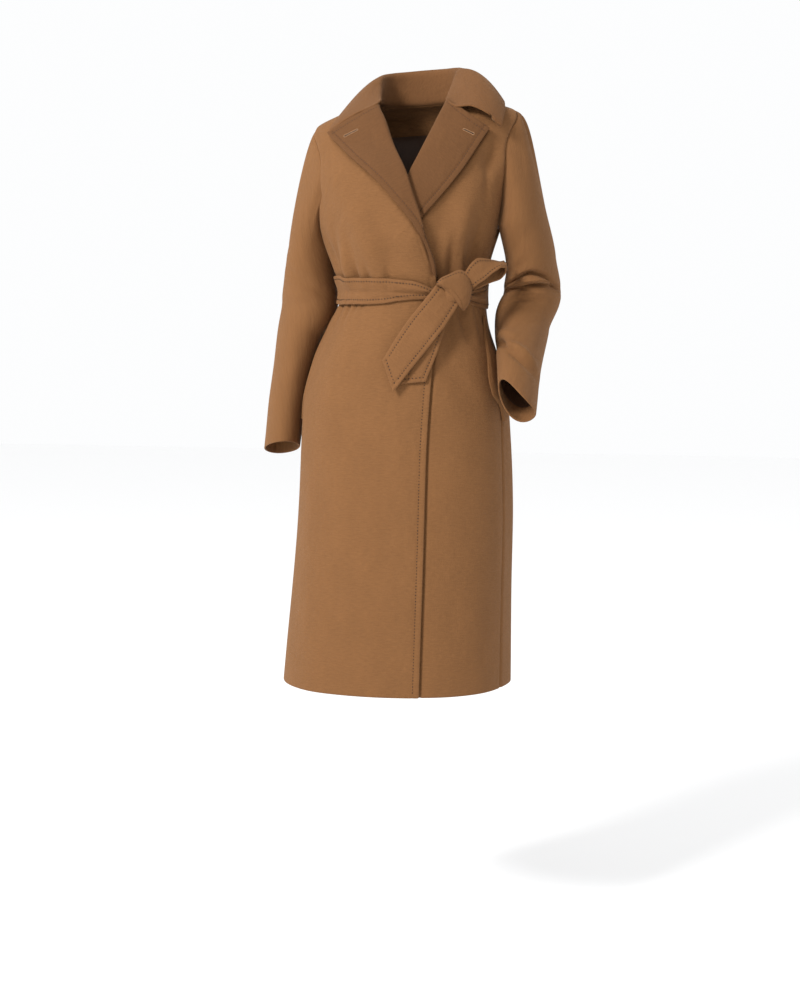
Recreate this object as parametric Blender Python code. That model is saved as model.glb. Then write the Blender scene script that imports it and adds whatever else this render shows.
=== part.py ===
"""Wool wrap coat in its worn form: hollow cloth walls, notched lapels and a tie belt.

Metres, +Z up. The front faces -Y and the wearer's left is +X. The origin is the middle of the
neck at the height of the shoulder seams' inner ends, where the wearer's shoulders hold the coat.
An angle runs round the body: 0 at the wearer's left side, 90 in front, 180 at the right side.
"""
import math

import bmesh
import bpy
import numpy as np

for leftover in list(bpy.data.objects):
    bpy.data.objects.remove(leftover, do_unlink=True)

# ---------------------------------------------------------------- driving sizes
CLOTH = 0.003           # coat cloth with its facing or lining
BELT_CLOTH = 0.004      # two layers of cloth, pressed flat
BELT_GAP = 0.0020       # clear space between the belt and the coat
SEAM_GAP = 0.0005       # clear space between two sewn pieces
LAY_REACH = 0.016       # distance over which a lying piece smooths out what is under it
LAY_GAP = 0.0014        # clear space under a piece that lies on another
HEM = -1.016            # height of the hem
NECK = 0.0              # height of the neckline
SHOULDER_TIP = -0.036   # height of the outer end of the shoulder seam
UNDERARM = -0.236       # height of the lowest point of the armhole
WAIST = -0.331          # height of the middle of the belt
BREAK = -0.300          # height where the lapels start to turn back
SKIRT_TOP = -0.40       # height below which only cloth laps over cloth
SHOULDER_TILT = 0.05    # the left shoulder is held a little higher than the right
LAP_LIFT = 0.0045       # room for the left front under the right one
LAPEL_LIFT = 0.0090     # room for the left front and its lapel under the right front
BOXINESS = 0.07         # how much squarer than an ellipse the sections are
ARMHOLE_FRONT = {1: 26.0, -1: 33.0}     # degrees it reaches forward, left and right
ARMHOLE_ROUND = 0.7     # how round the armhole is: 1 is a pointed oval
ARMHOLE_BACK = 30.0     # degrees that it reaches behind the sides
SIDE_SEAM = 12.0        # degrees that the side seams lie in front of the side
SEAM_TURN = 0.20        # height below the armhole over which they come forward
WAIST_RADIUS = 0.09     # smallest distance of a side seam from the middle
SEAM_HALF_GAP = SEAM_GAP / 2 / WAIST_RADIUS     # half of a seam's gap, as an angle
LAP_FADE_ANGLES = (118, 150)    # degrees over which the lap's lift ends, round the body
LAP_FADE_HEIGHTS = (-0.135, -0.075)     # heights over which it ends, up the lapel

COLUMNS_FRONT = 16
COLUMNS_BACK = 20
ARMHOLE_STEPS = 9       # rows from the underarm to the shoulder tip
SLEEVE_CAP_ROWS = 5

# Sections of the body of the coat, top to bottom.
#    height, centre_x, centre_y, half_width, front_depth, back_depth
BODY = np.array([
    (0.065, -0.002, 0.018, 0.064, 0.056, 0.052),
    (0.004, -0.002, 0.010, 0.070, 0.060, 0.056),
    (-0.008, -0.002, 0.008, 0.104, 0.074, 0.074),
    (-0.020, -0.002, 0.006, 0.146, 0.084, 0.090),
    (-0.036, -0.002, 0.004, 0.181, 0.092, 0.102),
    (-0.056, -0.003, 0.003, 0.191, 0.100, 0.110),
    (-0.110, -0.006, 0.000, 0.189, 0.116, 0.117),
    (-0.170, -0.011, 0.000, 0.173, 0.128, 0.120),
    (-0.235, -0.013, 0.000, 0.154, 0.127, 0.115),
    (-0.285, -0.013, 0.000, 0.137, 0.117, 0.106),
    (-0.331, -0.0085, 0.000, 0.1255, 0.108, 0.101),
    (-0.385, -0.017, 0.000, 0.139, 0.119, 0.114),
    (-0.450, -0.021, 0.000, 0.164, 0.133, 0.134),
    (-0.530, -0.023, 0.000, 0.182, 0.143, 0.148),
    (-0.700, -0.026, 0.000, 0.188, 0.151, 0.153),
    (-0.850, -0.032, 0.000, 0.194, 0.158, 0.158),
    (-1.030, -0.043, 0.000, 0.203, 0.166, 0.166),
])

# Folds pressed into the body: a ridge has a positive rise, a trough a negative one.
#    angle_top, height_top, angle_bottom, height_bottom, rise, width
FOLDS = np.array([
    (150, -0.205, 146, -0.322, -0.006, 0.026),
    (136, -0.110, 118, -0.315, -0.005, 0.030),
    (130, -0.240, 129, -0.322, 0.004, 0.020),
    (60, -0.150, 64, -0.315, -0.006, 0.026),
    (45, -0.130, 50, -0.310, 0.006, 0.024),
    (33, -0.205, 37, -0.322, -0.007, 0.026),
    (72, -0.350, 50, -0.480, 0.007, 0.026),
    (62, -0.350, 38, -0.580, -0.005, 0.034),
    (210, -0.205, 216, -0.322, -0.006, 0.028),
    (232, -0.150, 238, -0.320, 0.005, 0.028),
    (308, -0.150, 302, -0.320, 0.005, 0.028),
    (330, -0.205, 324, -0.322, -0.006, 0.028),
    (240, -0.350, 236, -0.500, -0.005, 0.034),
    (300, -0.350, 304, -0.500, -0.005, 0.034),
    (352, -0.430, 350, -1.020, 0.004, 0.036),
    (200, -0.550, 204, -1.020, 0.005, 0.040),
    (316, -0.600, 314, -1.020, 0.005, 0.042),
    (262, -0.600, 260, -1.020, -0.004, 0.044),
])

# Edges of the fronts, as seen from in front: across is the place along X.
#    height, across
ROLL_RIGHT = np.array([
    (0.000, -0.056), (-0.033, -0.044), (-0.070, -0.027), (-0.120, 0.002), (-0.158, 0.018),
    (-0.194, 0.031), (-0.235, 0.041), (-0.283, 0.049), (-0.310, 0.051),
])
EDGE_RIGHT = np.array([
    (-0.310, 0.051), (-0.400, 0.053), (-0.470, 0.051), (-0.605, 0.045), (-0.770, 0.042),
    (-1.020, 0.036),
])
ROLL_LEFT = np.array([(0.000, 0.057), (-0.120, 0.014), (-0.310, -0.050)])
EDGE_LEFT = np.array([(-0.310, -0.050), (-0.600, -0.070), (-1.020, -0.090)])

# Outer edges of the lapels, from the tip down to the break.
#    height, across
LAPEL_RIGHT = np.array([
    (-0.060, -0.141), (-0.103, -0.096), (-0.136, -0.056), (-0.166, -0.024), (-0.199, 0.004),
    (-0.226, 0.020), (-0.252, 0.031), (-0.280, 0.041), (-0.302, 0.047),
])
LAPEL_LEFT = np.array([
    (-0.068, 0.134), (-0.095, 0.124), (-0.127, 0.109), (-0.155, 0.090), (-0.181, 0.066),
    (-0.213, 0.036), (-0.250, 0.004), (-0.280, -0.022), (-0.302, -0.042),
])
LAPEL_ROWS = 11
LAPEL_COLUMNS = 8
ROLL_FULLNESS = 0.001    # how much higher a lapel lies over the upper chest
NECK_FULLNESS = 0.005    # and how much higher again along its roll there
GORGE_GAP = 0.003        # height between the lapel's top and the collar's end

# Collar, from the left gorge round the back of the neck to the right gorge.
#    turn, stand, mid_x, mid_y, mid_z, edge_x, edge_y, edge_z
COLLAR = np.array([
    (34, 0.003, 0.112, -0.074, -0.018, 0.156, -0.090, -0.058),
    (18, 0.024, 0.120, -0.052, 0.010, 0.158, -0.060, -0.033),
    (0, 0.044, 0.106, -0.006, 0.038, 0.148, -0.006, -0.008),
    (-45, 0.056, 0.078, 0.070, 0.040, 0.108, 0.092, -0.002),
    (-90, 0.058, 0.000, 0.102, 0.040, 0.000, 0.124, -0.010),
    (-135, 0.056, -0.078, 0.070, 0.034, -0.106, 0.090, -0.008),
    (-180, 0.046, -0.096, 0.004, 0.026, -0.142, 0.008, -0.016),
    (-200, 0.026, -0.096, -0.042, 0.004, -0.148, -0.046, -0.032),
    (-219, 0.003, -0.094, -0.070, -0.020, -0.142, -0.084, -0.048),
])
COLLAR_STATIONS = 25
COLLAR_STAND_COLUMNS = 3
COLLAR_FALL_COLUMNS = 6

# Sleeves from the biceps to the cuff.
#    centre_x, centre_y, centre_z, half_side, half_depth
SLEEVE_RIGHT = np.array([
    (-0.2060, 0.012, -0.252, 0.0360, 0.066),
    (-0.2160, 0.012, -0.345, 0.0405, 0.062),
    (-0.2340, 0.008, -0.470, 0.0370, 0.057),
    (-0.2460, 0.003, -0.540, 0.0345, 0.055),
    (-0.2545, -0.002, -0.609, 0.0345, 0.053),
])
SLEEVE_LEFT = np.array([
    (0.1870, 0.016, -0.200, 0.0415, 0.067),
    (0.192, 0.040, -0.275, 0.044, 0.066),
    (0.196, 0.054, -0.330, 0.044, 0.062),
    (0.188, 0.036, -0.385, 0.042, 0.060),
    (0.189, -0.040, -0.450, 0.038, 0.055),
    (0.192, -0.102, -0.505, 0.037, 0.052),
])
SLEEVE_ROWS = 14
SLEEVE_INSET = 0.022     # how much smaller the sleeve head is than the armhole, as a part
CAP_FULLNESS = 0.16     # how far the sleeve head stands out, as a part of its drop
CAP_FALL = 0.9          # how straight it arrives at the biceps

# Belt round the waist: the band is full height behind and pinched beside the knot.
#    turn, top, bottom
BAND = np.array([
    (-270, -0.322, -0.350), (-255, -0.312, -0.350), (-225, -0.301, -0.352), (-180, -0.299, -0.350),
    (-90, -0.303, -0.355), (-10, -0.309, -0.356), (20, -0.318, -0.354), (45, -0.322, -0.350),
    (70, -0.325, -0.350), (90, -0.322, -0.350),
])
BAND_STATIONS = 48
BAND_ROWS = 4

KNOT_ANGLE = 50.0       # degrees round the body to the knot
KNOT_HALF = (0.027, 0.016, 0.032)   # along the belt, out from the body, up
KNOT_LEAN = 30.0        # degrees that the knot leans from upright
KNOT_RISE = 0.033       # its middle, out from the body

# Loop of the half bow, a strip from the knot and back.
#    lower_x, lower_y, lower_z, upper_x, upper_y, upper_z
LOOP = np.array([
    (0.108, -0.078, -0.338, 0.098, -0.087, -0.306),
    (0.131, -0.085, -0.328, 0.119, -0.097, -0.297),
    (0.142, -0.092, -0.320, 0.130, -0.100, -0.282),
    (0.158, -0.086, -0.306, 0.148, -0.090, -0.276),
    (0.170, -0.076, -0.296, 0.164, -0.074, -0.276),
    (0.174, -0.062, -0.300, 0.168, -0.056, -0.280),
    (0.164, -0.054, -0.312, 0.156, -0.050, -0.290),
    (0.146, -0.058, -0.324, 0.136, -0.060, -0.300),
    (0.128, -0.066, -0.334, 0.118, -0.072, -0.308),
    (0.112, -0.071, -0.338, 0.103, -0.078, -0.313),
])

# Free ends of the belt, hanging from the knot over the skirt.
#    across_a, height_a, across_b, height_b, rise (a is the upper edge as it lies)
TAIL_FRONT = np.array([
    (0.058, -0.334, 0.083, -0.375, 0.0142),
    (0.040, -0.360, 0.066, -0.401, 0.0150),
    (-0.012, -0.430, 0.014, -0.476, 0.0150),
    (-0.026, -0.449, -0.004, -0.500, 0.0140),
])
TAIL_REAR = np.array([
    (0.064, -0.382, 0.084, -0.388, 0.009),
    (0.046, -0.418, 0.074, -0.428, 0.008),
    (0.010, -0.496, 0.052, -0.492, 0.006),
])

# Pocket welts on the fronts, top to bottom.
#    height, inner_angle, outer_angle, flare
WELT = np.array([
    (-0.368, 19.5, 13.0, 0.000),
    (-0.420, 22.0, 13.0, 0.002),
    (-0.480, 22.5, 12.9, 0.003),
    (-0.530, 20.5, 12.8, 0.002),
    (-0.560, 17.5, 12.8, 0.000),
])
WELT_CLOTH = 0.003

WOOL = (0.340, 0.165, 0.068)
WOOL_COLLAR = (0.297, 0.140, 0.056)
WOOL_BELT = (0.352, 0.172, 0.072)


# ---------------------------------------------------------------- curves and surfaces
def run_through(table, at):
    """Values of a table at new stations: a cubic that never overshoots its rows."""
    rows = table[np.argsort(table[:, 0])]
    stations = rows[:, 0]
    values = rows[:, 1:]
    step = np.diff(stations)[:, None]
    slope = np.diff(values, axis=0) / step
    total = slope[1:] + slope[:-1]
    product = slope[1:] * slope[:-1]
    inner = np.where(product > 0, 2 * product / np.where(product > 0, total, 1), 0)
    tangent = np.vstack((slope[:1], inner, slope[-1:]))
    at = np.clip(np.asarray(at, float), stations[0], stations[-1])
    k = np.clip(np.searchsorted(stations, at, side="right") - 1, 0, len(stations) - 2)
    f = ((at - stations[k]) / step[k, 0])[..., None]
    width = step[k]
    a = (1 + 2 * f) * (1 - f) ** 2 * values[k] + f * (1 - f) ** 2 * width * tangent[k]
    b = f * f * (3 - 2 * f) * values[k + 1] + f * f * (f - 1) * width * tangent[k + 1]
    return a + b


def along(table, count):
    """The rows of a table smoothed into a given number of evenly spread rows."""
    rows = len(table)
    numbered = np.column_stack((np.arange(rows), table))
    return run_through(numbered, np.linspace(0, rows - 1, count))


def ease(value, start, end):
    """Soft step from 0 at start to 1 at end."""
    f = np.clip((value - start) / (end - start), 0, 1)
    return f * f * (3 - 2 * f)


def fold_rise(angle, height):
    """How far the folds push the cloth out at an angle and a height."""
    rise = np.zeros(np.broadcast(angle, height).shape)
    radius = run_through(BODY, height)[..., 2]
    for angle_top, top, angle_bottom, bottom, depth, width in FOLDS:
        f = (top - height) / (top - bottom)
        middle = np.radians(angle_top + (angle_bottom - angle_top) * f)
        aside = (angle - middle + math.pi) % (2 * math.pi) - math.pi
        ends = ease(f, 0.0, 0.5) * (1 - ease(f, 0.55, 1.0) * (bottom > HEM))
        rise = rise + depth * ends * np.exp(-(aside * radius / width) ** 2)
    return rise


def raw_body(angle, height):
    """Point of the general figure's section at an angle and a height, without folds."""
    section = run_through(BODY, height)
    centre_x, centre_y, half_width, front, back = np.moveaxis(section, -1, 0)
    side = np.cos(angle)
    ahead = np.sin(angle)
    depth = np.where(ahead > 0, front, back)
    x = centre_x + half_width * side * (1 + BOXINESS * ahead ** 2)
    y = centre_y - depth * ahead * (1 + BOXINESS * side ** 2)
    z = height + SHOULDER_TILT * x * ease(height, WAIST, UNDERARM)
    return np.stack((x, y, z + 0 * x), axis=-1)


def unit(vectors):
    return vectors / np.maximum(np.linalg.norm(vectors, axis=-1, keepdims=True), 1e-12)


def body(angle, height, out=0.0, reach=0.001):
    """Point of the coat's surface, moved out by a distance, folds included.

    The direction of the move is read over the reach: a long one smooths it round the neck.
    """
    angle, height = np.broadcast_arrays(np.asarray(angle, float), np.asarray(height, float))
    turn = 0.01
    round_about = raw_body(angle + turn, height) - raw_body(angle - turn, height)
    upward = raw_body(angle, height + reach) - raw_body(angle, height - reach)
    normal = unit(np.cross(upward, round_about))
    rise = fold_rise(angle, height) + out
    return raw_body(angle, height) + normal * rise[..., None]


def angle_at(across, height):
    """Angle of the place on the front that is seen at a distance across and a height."""
    across, height = np.broadcast_arrays(np.asarray(across, float), np.asarray(height, float))
    section = run_through(BODY, height)
    share = np.clip((across - section[..., 0]) / section[..., 2], -0.999, 0.999)
    angle = np.arccos(share)
    for _ in range(12):
        off = np.cos(angle) * (1 + BOXINESS * np.sin(angle) ** 2) - share
        angle = np.clip(angle + off / np.maximum(np.sin(angle), 0.05) * 0.8, 0.02, math.pi - 0.02)
    return angle


def on_front(across, height, out):
    """Point lying on the front of the coat, moved out by a distance."""
    return body(angle_at(across, height), height, out, reach=LAY_REACH)


def over_lift(angle, height):
    """How far the right front stands out where it laps over the left one and its lapel."""
    full = LAP_LIFT + (LAPEL_LIFT - LAP_LIFT) * ease(height, SKIRT_TOP, BREAK)
    full = full * (1 - ease(height, *LAP_FADE_HEIGHTS))
    return full * (1 - ease(angle, *np.radians(LAP_FADE_ANGLES)))


# ---------------------------------------------------------------- solids
def material(name, colour, roughness):
    made = bpy.data.materials.get(name) or bpy.data.materials.new(name)
    made.use_nodes = True
    shader = made.node_tree.nodes["Principled BSDF"]
    shader.inputs["Base Color"].default_value = (*colour, 1.0)
    shader.inputs["Roughness"].default_value = roughness
    shader.inputs["Metallic"].default_value = 0.0
    return made


def add_solid(name, points, faces, colour, roughness=0.85):
    """A closed body from points and faces, smooth, with its faces turned outward."""
    mesh = bpy.data.meshes.new(name)
    mesh.from_pydata([tuple(point) for point in points], [], faces)
    work = bmesh.new()
    work.from_mesh(mesh)
    bmesh.ops.recalc_face_normals(work, faces=work.faces)
    if work.calc_volume(signed=True) < 0:
        bmesh.ops.reverse_faces(work, faces=work.faces)
    work.to_mesh(mesh)
    work.free()
    mesh.shade_smooth()
    mesh.set_sharp_from_angle(angle=math.radians(50))
    mesh.materials.append(material("wool_" + name, colour, roughness))
    piece = bpy.data.objects.new(name, mesh)
    bpy.context.scene.collection.objects.link(piece)
    return piece


def cloth_wall(name, outer, inner, colour, ring=False):
    """A wall of cloth between two grids of points (rows, columns, 3); a ring closes on itself."""
    rows, columns = outer.shape[:2]
    points = np.concatenate((outer.reshape(-1, 3), inner.reshape(-1, 3)))
    inside = rows * columns
    spans = columns if ring else columns - 1

    def at(row, column, layer=0):
        return layer * inside + row * columns + column % columns

    faces = []
    for row in range(rows - 1):
        for column in range(spans):
            quad = [(row, column), (row, column + 1), (row + 1, column + 1), (row + 1, column)]
            faces.append([at(r, c) for r, c in quad])
            faces.append([at(r, c, 1) for r, c in reversed(quad)])
    for column in range(spans):
        for row in (0, rows - 1):
            faces.append([at(row, column), at(row, column + 1), at(row, column + 1, 1),
                          at(row, column, 1)])
    if not ring:
        for row in range(rows - 1):
            for column in (0, columns - 1):
                faces.append([at(row, column), at(row + 1, column), at(row + 1, column, 1),
                              at(row, column, 1)])
    return add_solid(name, points, faces, colour)


def grid_normals(grid, ring=False):
    """Normals of a grid of points, by the runs along its rows and its columns."""
    down = np.gradient(grid, axis=0)
    if ring:
        across = np.roll(grid, -1, axis=1) - np.roll(grid, 1, axis=1)
    else:
        across = np.gradient(grid, axis=1)
    return unit(np.cross(down, across))


# ---------------------------------------------------------------- body panels
def armhole_share(steps):
    """Shares of the armhole's height, closer together at its two ends."""
    even = np.linspace(0, 1, steps + 1)
    return even - 0.5 * np.sin(2 * math.pi * even) / (2 * math.pi)


def armhole_reach(height, degrees):
    """Angle from the side to the edge of the armhole at a height."""
    share = np.clip((height - UNDERARM) / (SHOULDER_TIP - UNDERARM), 0, 1)
    return math.radians(degrees) * np.sin(math.pi * share) ** ARMHOLE_ROUND


def side_edge(height, reach):
    """Angle from the side to a front's outer edge: side seam, armhole and shoulder seam."""
    seam = math.radians(SIDE_SEAM) * (1 - ease(height, UNDERARM - SEAM_TURN, UNDERARM))
    return seam + armhole_reach(height, reach)


def panel_heights():
    """Heights of the rows that all three panels share, hem to neckline."""
    skirt = np.linspace(HEM, -0.45, 10)[:-1]
    waist = np.array([-0.45, -0.410, -0.378, -0.355, -0.334, -0.312, -0.290, -0.262])
    armhole = UNDERARM + (SHOULDER_TIP - UNDERARM) * armhole_share(ARMHOLE_STEPS)
    shoulder = np.linspace(SHOULDER_TIP, NECK, 6)[1:]
    return np.concatenate((skirt, waist, armhole, shoulder))


def front_edge(roll, edge, height):
    """Angle of the front edge, and of the roll line above the break."""
    rows = np.vstack((edge, roll[:-1]))
    return angle_at(run_through(rows, height)[..., 0], height)


def spread(outer_edge, inner_edge, seam, columns):
    """Angles of a panel's columns, squeezed together only where the armhole cuts in."""
    share = np.linspace(0, 1, columns + 1)
    even = seam + (inner_edge - seam)[:, None] * share
    return even + (outer_edge - seam)[:, None] * (1 - share) ** 2


def make_front(name, roll, edge, right):
    heights = panel_heights()
    inner_edge = front_edge(roll, edge, heights)
    outer_edge = side_edge(heights, ARMHOLE_FRONT[-1 if right else 1]) + SEAM_HALF_GAP
    if right:
        outer_edge = math.pi - outer_edge
    angle = spread(outer_edge, inner_edge, outer_edge[0], COLUMNS_FRONT)
    height = heights[:, None] + 0 * angle
    lift = over_lift(angle, height) if right else 0 * angle
    cloth_wall(name, body(angle, height, lift), body(angle, height, lift - CLOTH), WOOL)


def make_back():
    heights = panel_heights()
    seam = side_edge(heights, 0.0)
    edge = armhole_reach(heights, ARMHOLE_BACK) + SEAM_HALF_GAP - seam
    left = -edge
    right = -math.pi + edge
    share = np.linspace(0, 1, COLUMNS_BACK + 1)
    even = left[0] + (right[0] - left[0]) * share
    squeeze = (1 - share) ** 4
    angle = even + (left - left[0])[:, None] * squeeze + (right - right[0])[:, None] * squeeze[::-1]
    height = heights[:, None] + 0 * angle
    cloth_wall("back", body(angle, height), body(angle, height, -CLOTH), WOOL)


# ---------------------------------------------------------------- lapels and collar
def make_lapel(name, roll, outer_edge, right):
    """Facing turned back over the front, from the roll line out to the lapel's edge."""
    down = np.linspace(0, 1, LAPEL_ROWS) ** 0.9
    top = NECK - GORGE_GAP
    roll_height = top + (BREAK - 0.004 - top) * down
    roll_across = run_through(roll, roll_height)[:, 0]
    edge_height = outer_edge[0, 0] + (outer_edge[-1, 0] - outer_edge[0, 0]) * down
    edge_across = run_through(outer_edge, edge_height)[:, 0]
    share = np.linspace(0, 1, LAPEL_COLUMNS + 1)
    height = roll_height[:, None] + (edge_height - roll_height)[:, None] * share
    across = roll_across[:, None] + (edge_across - roll_across)[:, None] * share
    near_top = 1 - ease(down[:, None], 0.1, 0.4)
    lift = LAY_GAP + CLOTH + (ROLL_FULLNESS + NECK_FULLNESS * (1 - share)) * near_top
    if right:
        lift = lift + over_lift(angle_at(across, height), height)
    outer = on_front(across, height, lift)
    inner = on_front(across, height, lift - CLOTH)
    cloth_wall(name, outer, inner, WOOL_COLLAR)


def make_collar():
    stations = np.linspace(COLLAR[0, 0], COLLAR[-1, 0], COLLAR_STATIONS)
    rows = run_through(COLLAR, stations)
    turn = np.radians(stations)
    outer = []
    for angle, row in zip(turn, rows):
        stand, mid, edge = row[0], row[1:4], row[4:7]
        heights = NECK + SEAM_GAP + stand * np.linspace(0, 1, COLLAR_STAND_COLUMNS + 1)
        standing = body(angle, heights)
        top = standing[-1]
        f = np.linspace(0, 1, COLLAR_FALL_COLUMNS + 1)[1:, None]
        control = 2 * mid - (top + edge) / 2
        falling = (1 - f) ** 2 * top + 2 * f * (1 - f) * control + f * f * edge
        outer.append(np.vstack((standing, falling)))
    outer = np.array(outer)
    normals = grid_normals(outer)
    cloth_wall("collar", outer, outer - normals * CLOTH, WOOL_COLLAR)


# ---------------------------------------------------------------- sleeves
def sleeve_points(table, side, thickness):
    """Rings of a sleeve from the armhole to the cuff; side is +1 for the left, -1 for the right."""
    count = 2 * ARMHOLE_STEPS
    around = np.linspace(0, 2 * math.pi, count, endpoint=False)
    up = armhole_share(ARMHOLE_STEPS)
    share = np.concatenate((up[::-1], up[1:-1]))
    ahead = np.arange(count) <= ARMHOLE_STEPS
    height = UNDERARM + (SHOULDER_TIP - UNDERARM) * share
    angle = np.where(ahead, armhole_reach(height, ARMHOLE_FRONT[side]),
                     -armhole_reach(height, ARMHOLE_BACK))
    angle = angle * (1 - SLEEVE_INSET)
    middle = (UNDERARM + SHOULDER_TIP) / 2
    height = middle + (height - middle) * (1 - SLEEVE_INSET / 2)
    if side < 0:
        angle = math.pi - angle
    armhole = body(angle, height, -thickness)

    rings = along(table, SLEEVE_ROWS)
    centres = rings[:, :3]
    tangent = unit(np.gradient(centres, axis=0))
    forward = np.array((0.0, -1.0, 0.0))
    front = unit(forward - (tangent @ forward)[:, None] * tangent)
    outward = unit(np.cross(front, tangent)) * side
    outward = outward * np.sign(outward[:, :1] * side)
    reach_side = (rings[:, 3] - thickness)[:, None, None]
    reach_front = (rings[:, 4] - thickness)[:, None, None]
    tube = (centres[:, None]
            + outward[:, None] * np.cos(around)[None, :, None] * reach_side
            + front[:, None] * np.sin(around)[None, :, None] * reach_front)

    drop = np.linalg.norm(tube[0] - armhole, axis=-1, keepdims=True)
    leave = np.array((side * 1.0, 0.0, 0.0)) * drop * CAP_FULLNESS
    arrive = tangent[0] * drop * CAP_FALL
    cap = []
    for f in np.linspace(0, 1, SLEEVE_CAP_ROWS + 1)[:-1]:
        cap.append((1 + 2 * f) * (1 - f) ** 2 * armhole + f * (1 - f) ** 2 * leave
                   + f * f * (3 - 2 * f) * tube[0] + f * f * (f - 1) * arrive)
    return np.concatenate((np.array(cap), tube))


def make_sleeve(name, table, side):
    outer = sleeve_points(table, side, 0.0)
    normals = grid_normals(outer, ring=True) * -side
    cloth_wall(name, outer, outer - normals * CLOTH, WOOL, ring=True)


# ---------------------------------------------------------------- belt and pockets
def waist_lift(angle, height):
    """Outer face of whatever the belt lies on."""
    turned = np.mod(angle, 2 * math.pi)
    shift = np.where(turned < math.radians(40), 0.0, over_lift(turned, height))
    shift = np.where(turned > math.pi, 0.0, shift)
    return shift * ease(turned, math.radians(30), math.radians(62))


def make_belt_band():
    turns = np.linspace(-270, 90, BAND_STATIONS, endpoint=False)
    top, bottom = run_through(BAND, turns).T
    angle = np.radians(turns)[None, :]
    share = np.linspace(0, 1, BAND_ROWS)[:, None]
    height = top + (bottom - top) * share
    base = waist_lift(angle + 0 * height, height) + BELT_GAP
    outer = body(angle, height, base + BELT_CLOTH)
    inner = body(angle, height, base)
    cloth_wall("belt_band", outer, inner, WOOL_BELT, ring=True)


def make_belt_knot():
    rows = 9
    columns = 16
    angle = math.radians(KNOT_ANGLE)
    centre = body(angle, WAIST - 0.002, KNOT_RISE)
    out = unit(body(angle, WAIST, 0.01) - body(angle, WAIST))
    up = np.array((0.0, 0.0, 1.0))
    aside = np.cross(up, out)
    lean = math.radians(KNOT_LEAN)
    points = []
    for i in range(1, rows):
        tip = math.pi * i / rows
        for j in range(columns):
            turn = 2 * math.pi * j / columns
            pinch = 1 + 0.10 * math.cos(2 * turn) + 0.05 * math.cos(3 * turn + 1)
            level = KNOT_HALF[0] * math.sin(tip) * math.cos(turn) * pinch
            rise = KNOT_HALF[2] * math.sin(tip) * math.sin(turn) * pinch
            outward = KNOT_HALF[1] * math.copysign(abs(math.cos(tip)) ** 0.8, math.cos(tip))
            points.append(centre + aside * (level * math.cos(lean) - rise * math.sin(lean))
                          + up * (level * math.sin(lean) + rise * math.cos(lean)) + out * outward)
    points.append(centre + out * KNOT_HALF[1])
    points.append(centre - out * KNOT_HALF[1])
    last = (rows - 1) * columns
    faces = []
    for j in range(columns):
        k = (j + 1) % columns
        faces.append([last, j, k])
        faces.append([last + 1, last - columns + k, last - columns + j])
        for i in range(rows - 2):
            faces.append([i * columns + j, (i + 1) * columns + j, (i + 1) * columns + k,
                          i * columns + k])
    add_solid("belt_knot", points, faces, WOOL_BELT)


def make_belt_loop():
    rows = along(LOOP, 15)
    lower, upper = rows[:, :3], rows[:, 3:]
    share = np.linspace(0, 1, 4)[None, :, None]
    outer = lower[:, None] + (upper - lower)[:, None] * share
    cloth_wall("belt_loop", outer, outer - grid_normals(outer) * BELT_CLOTH * 0.75, WOOL_BELT)


def make_tail(name, table):
    rows = along(table, 8)
    share = np.linspace(0, 1, 4)[None, :]
    across = rows[:, :1] + (rows[:, 2:3] - rows[:, :1]) * share
    height = rows[:, 1:2] + (rows[:, 3:4] - rows[:, 1:2]) * share
    rise = rows[:, 4:5] + 0 * across
    cloth_wall(name, on_front(across, height, rise + BELT_CLOTH), on_front(across, height, rise),
               WOOL_BELT)


def make_welt(name, right):
    rows = along(WELT, 8)
    share = np.linspace(0, 1, 4)[None, :]
    angle = np.radians(rows[:, 1:2] + (rows[:, 2:3] - rows[:, 1:2]) * share)
    if right:
        angle = math.pi - angle
    height = rows[:, :1] + 0 * angle
    lift = LAY_GAP + rows[:, 3:4] * share ** 2
    cloth_wall(name, body(angle, height, lift + WELT_CLOTH), body(angle, height, lift), WOOL)


# ---------------------------------------------------------------- the coat
make_front("front_right", ROLL_RIGHT, EDGE_RIGHT, right=True)
make_front("front_left", ROLL_LEFT, EDGE_LEFT, right=False)
make_back()
make_lapel("lapel_right", ROLL_RIGHT, LAPEL_RIGHT, right=True)
make_lapel("lapel_left", ROLL_LEFT, LAPEL_LEFT, right=False)
make_collar()
make_sleeve("sleeve_right", SLEEVE_RIGHT, -1)
make_sleeve("sleeve_left", SLEEVE_LEFT, 1)
make_belt_band()
make_belt_knot()
make_belt_loop()
make_tail("belt_tail_front", TAIL_FRONT)
make_tail("belt_tail_rear", TAIL_REAR)
make_welt("welt_right", right=True)
make_welt("welt_left", right=False)
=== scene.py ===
# %% [markdown]
# # A wool wrap coat
#
# This lesson dresses a plain frame of a belted wool coat until it looks like cloth. The frame
# gives every piece its place and size. Each piece of cloth is then made again as a fine shell:
# a front and a back face, a rounded edge all round, and the folds that the cloth has when it is
# worn. All sizes are in metres. +Z is up, the front faces -Y and the wearer's left is +X.

# %% Load the frame
import math

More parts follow.
